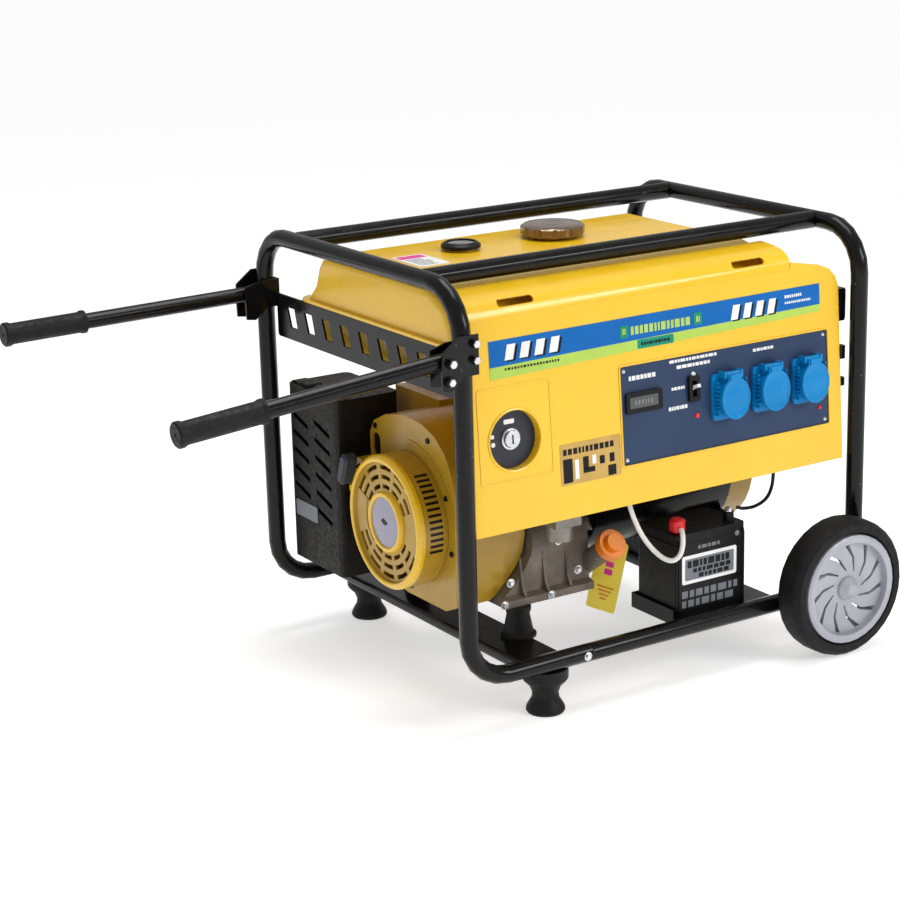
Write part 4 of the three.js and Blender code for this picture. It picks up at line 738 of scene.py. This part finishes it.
def add_engine_details():
    """Crankcase bolts and ribs, the shroud's screws and seam, a dark plate as painted shade inside the
    opening in the shroud's face, and the guard's plate and clips.
    """
    zinc = Shape()
    for x, y, z in ((-206, -158.2, 131), (-129, -158.2, 130), (-75, -145.5, 152), (-106, -143.8, 200),
                    (-188, -146.2, 156)):
        hex_bolt(zinc, (x, y, z), 4.2, 3.8, "y", -1)
    zinc.make("crankcase_bolts", "zinc", "set", "steel", bevel=0.25)
    ribs = Shape()
    for x in (-170, -132, -94):
        ribs.prism([(-157.6, 136), (-145.8, 139), (-143.4, 190), (-150, 150)], x - 1.8, x + 1.8, "x")
    ribs.make("crankcase_ribs", "cast_grey", "set", "cast_grey", bevel=0.6)
    face = own_x(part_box("fan_shroud")[0])
    screws, seam, port_shade = Shape(), Shape(), Shape()
    for y, z in ((-65, 352), (-108, 281), (-119, 205), (74, 344), (-12, 131)):
        screws.turned((face, y, z), [(0.05, -2.6), (3.6, -2.4), (4.4, 0.5), (0.05, 0.5)], "x", 12)
    screws.make("shroud_screws", "mark_dark", "set")
    outer, inner = [], []
    for i in range(15):
        angle = math.radians(92 - 5 * i)
        for row, r in ((outer, 111), (inner, 107.5)):
            row.append((SHAFT_Y - r * math.cos(angle), SHAFT_Z + r * math.sin(angle)))
    seam.prism(outer + inner[::-1], face - 1.6, face + 0.4, "x")
    seam.make("shroud_seam", "shroud_yellow", "set", "shroud_yellow", bevel=0.5)
    # A dark plate inside the opening in the shroud's face: painted shade for the hollow.
    port_shade.prism(rounded(60.5, 83.5, 298.5, 335.5, 9), face + 3.3, face + 4.0, "x")
    port_shade.make("shroud_port_shade", "mark_dark", "set")
    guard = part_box("muffler_guard")
    front, top = own_x(guard[0]), guard[1].z / MM
    plate = Shape().prism(rounded(160, 222, 187, 211, 3), front - 1.4, front + 0.1, "x")
    plate.make("guard_plate", "mark_grey", "set", bevel=0.4)
    clips = Shape()
    for y, tall in ((118, 5), (158, 8), (196, 5), (224, 3)):
        clips.prism([(y - 13, top - 0.2), (y - 9, top + tall), (y + 9, top + tall), (y + 13, top - 0.2)],
                    front + 6, front + 30, "x")
    clips.make("guard_clips", "hot_black", "set", "hot_black", bevel=1.2)


def add_starter_rope():
    """Thin laid rope between the grip and the cover's guide."""
    low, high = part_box("starter_rope")
    x0, x1 = own_x(low), own_x(high)
    centre = (0, (low.y + high.y) / 2 / MM, (low.z + high.z) / 2 / MM)
    steps = 36
    line = [(1.9 if i % 2 else 1.7, x0 + (x1 - x0) * i / steps) for i in range(steps + 1)]
    rope = Shape().turned(centre, [(0.05, x0), *line, (0.05, x1)], "x", 12)
    piece = rope.make("pull_rope", "rope", None, "rubber", smooth=60)
    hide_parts("starter_rope")
    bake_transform(piece)


# ---- tank top -------------------------------------------------------------------------------

TANK_LINE_Y = 31                        # the gauge and the cap stand on this line
LABEL_SKIN, LABEL_INK = (585.1, 585.4), (585.41, 585.6)


def add_tank_top():
    """Gauge bezel and glass, the cap's crown, and the label printed with plain blocks."""
    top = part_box("fuel_gauge")[1].z / MM
    bezel = [(19.6, -0.6), (20, 0.7), (22, 1.2), (24, 0.2), (24, -0.8)]
    gauge = Shape().turned((-142, TANK_LINE_Y, top), bezel, "z", 40)
    gauge.make("gauge_bezel", "black_plastic", "set", "black_plastic")
    dome = [(0.05, 0.9), (12, 0.8), (19.4, 0.3), (19.4, 0.02), (0.05, 0.02)]
    glass = Shape().turned((-142, TANK_LINE_Y, top - 1), dome, "z", 40)
    glass.make("gauge_glass", "gauge_glass", "set")
    cap_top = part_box("fuel_cap")[1].z / MM
    crown = [(0.05, -0.4), (13, -0.5), (15, 0.1), (17, -0.6), (17, -1.6), (0.05, -1.6)]
    cap = Shape().turned((13, TANK_LINE_Y, cap_top), crown, "z", 32)
    cap.make("cap_crown", "bronze_chrome", "cap", "bronze_chrome")
    label = Shape().prism(rounded(-250, -202, -38, 40, 4), *LABEL_SKIN, "z")
    label.make("tank_label", "mark_white", "set")
    pink = Shape().prism(rounded(-246, -206, 18, 36, 2), *LABEL_INK, "z")
    pink.make("tank_label_block", "mark_pink", "set")
    lines = Shape()
    dice = random.Random(31)
    for i in range(7):
        y = 10 - 6.8 * i
        x1 = -244 + dice.uniform(24, 36)
        lines.prism([(-244, y), (x1, y), (x1, y + 2.4), (-244, y + 2.4)], *LABEL_INK, "z")
    lines.make("tank_label_lines", "mark_grey", "set")


# ---- battery --------------------------------------------------------------------------------

def add_battery_details():
    """Label and plain printed marks on the case, its corner ribs, and the negative terminal's bolt."""
    low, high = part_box("battery")
    face, x0, x1 = low.y / MM, own_x(low), own_x(high)
    skin, ink, top = (face - 0.4, face - 0.05), (face - 0.65, face - 0.42), (face - 0.85, face - 0.66)
    Shape().prism(rounded(34, 130, 132, 173, 3), *skin).make("battery_label", "mark_white", "set")
    Shape().prism(rounded(39, 125, 137, 168, 2), *ink).make("battery_label_field", "mark_grey", "set")
    blocks = Shape()
    for row, (z0, z1) in enumerate(((155, 165), (147, 153), (139, 145))):
        dashes(blocks, 43 + 10 * row, 121, z0, z1, *top, seed=40 + row, gap=2.2, widths=(4, 11))
    blocks.make("battery_label_blocks", "mark_dark", "set")
    lower = Shape()
    for row, (z0, z1) in enumerate(((112, 122), (98, 108))):
        dashes(lower, 34, 132, z0, z1, *skin, seed=50 + row, gap=3.5, widths=(5, 15))
    dashes(lower, 62, 100, 180, 185, *skin, seed=55, gap=2, widths=(4, 9))
    lower.prism(circle(131, 190, 4, 20), *skin)
    lower.make("battery_marks", "mark_grey", "set")
    ribs = Shape()
    for x in (x0 + 4, x1 - 7):
        ribs.prism(rounded(x, x + 3, low.z / MM + 6, high.z / MM - 22, 1), face - 1.2, face + 0.5)
    ribs.make("battery_case_ribs", "black_plastic", "set", "black_plastic")
    post = Shape()
    hex_bolt(post, (130, -222, 218.3), 4.5, 4, "z")
    post.make("negative_terminal_bolt", "zinc", "set", "steel", bevel=0.25)


# ---- oil tag --------------------------------------------------------------------------------

def add_tag_details():
    """Plain marks on both faces of the hanging card, and its hem."""
    turn = Matrix.Rotation(math.radians(35), 4, "Z") @ Matrix.Rotation(math.radians(12), 4, "X")
    card = Matrix.Translation(place(-18, -154, 185)) @ turn @ Matrix.Scale(MM, 4)
    dots, lines = Shape(card), Shape(card)
    for low, high in ((-1.1, -0.8), (0.8, 1.1)):
        dots.prism(rounded(-7, 5, -40, -32, 2), low, high, "x")
        dots.prism(rounded(-7, 5, -52, -43, 2), low, high, "x")
        for i in range(4):
            y = 14 - 3.0 * i
            lines.prism(rounded(-y, y * 0.8, -72 - 6 * i, -70 - 6 * i, 0.8), low, high, "x")
    dots.make("tag_mark", "mark_pink", "set")
    lines.make("tag_lines", "orange", "set")
    edge = Shape(card)
    edge.prism(rounded(-21, 21, -106.5, -103.5, 1), -1.05, 1.05, "x")
    edge.make("tag_hem", "tag_yellow", "set", "tag_yellow")


# ---- floor ----------------------------------------------------------------------------------

FLOOR_REACH = 30


def add_floor():
    """Plain pale floor."""
    r = FLOOR_REACH
    mesh = bpy.data.meshes.new("floor")
    mesh.from_pydata([(-r, -r, 0), (r, -r, 0), (r, r, 0), (-r, r, 0)], [], [(0, 1, 2, 3)])
    floor = bpy.data.objects.new("floor", mesh)
    bpy.context.scene.collection.objects.link(floor)
    material = bpy.data.materials.new("floor")
    material.use_nodes = True
    shader = material.node_tree.nodes["Principled BSDF"]
    shader.inputs["Base Color"].default_value = (0.94, 0.94, 0.94, 1)
    shader.inputs["Roughness"].default_value = 0.9
    shader.inputs["Emission Color"].default_value = (1, 1, 1, 1)
    shader.inputs["Emission Strength"].default_value = 0.5
    mesh.materials.append(material)


for add in (add_cowl_band, add_engine_details, add_cowl_details, add_cowl_tabs, add_key_face,
            add_control_face, add_lid_faces, add_bolts, add_recoil_details, add_starter_rope,
            add_tag_details, add_tank_top, add_battery_details, add_floor):
    add()
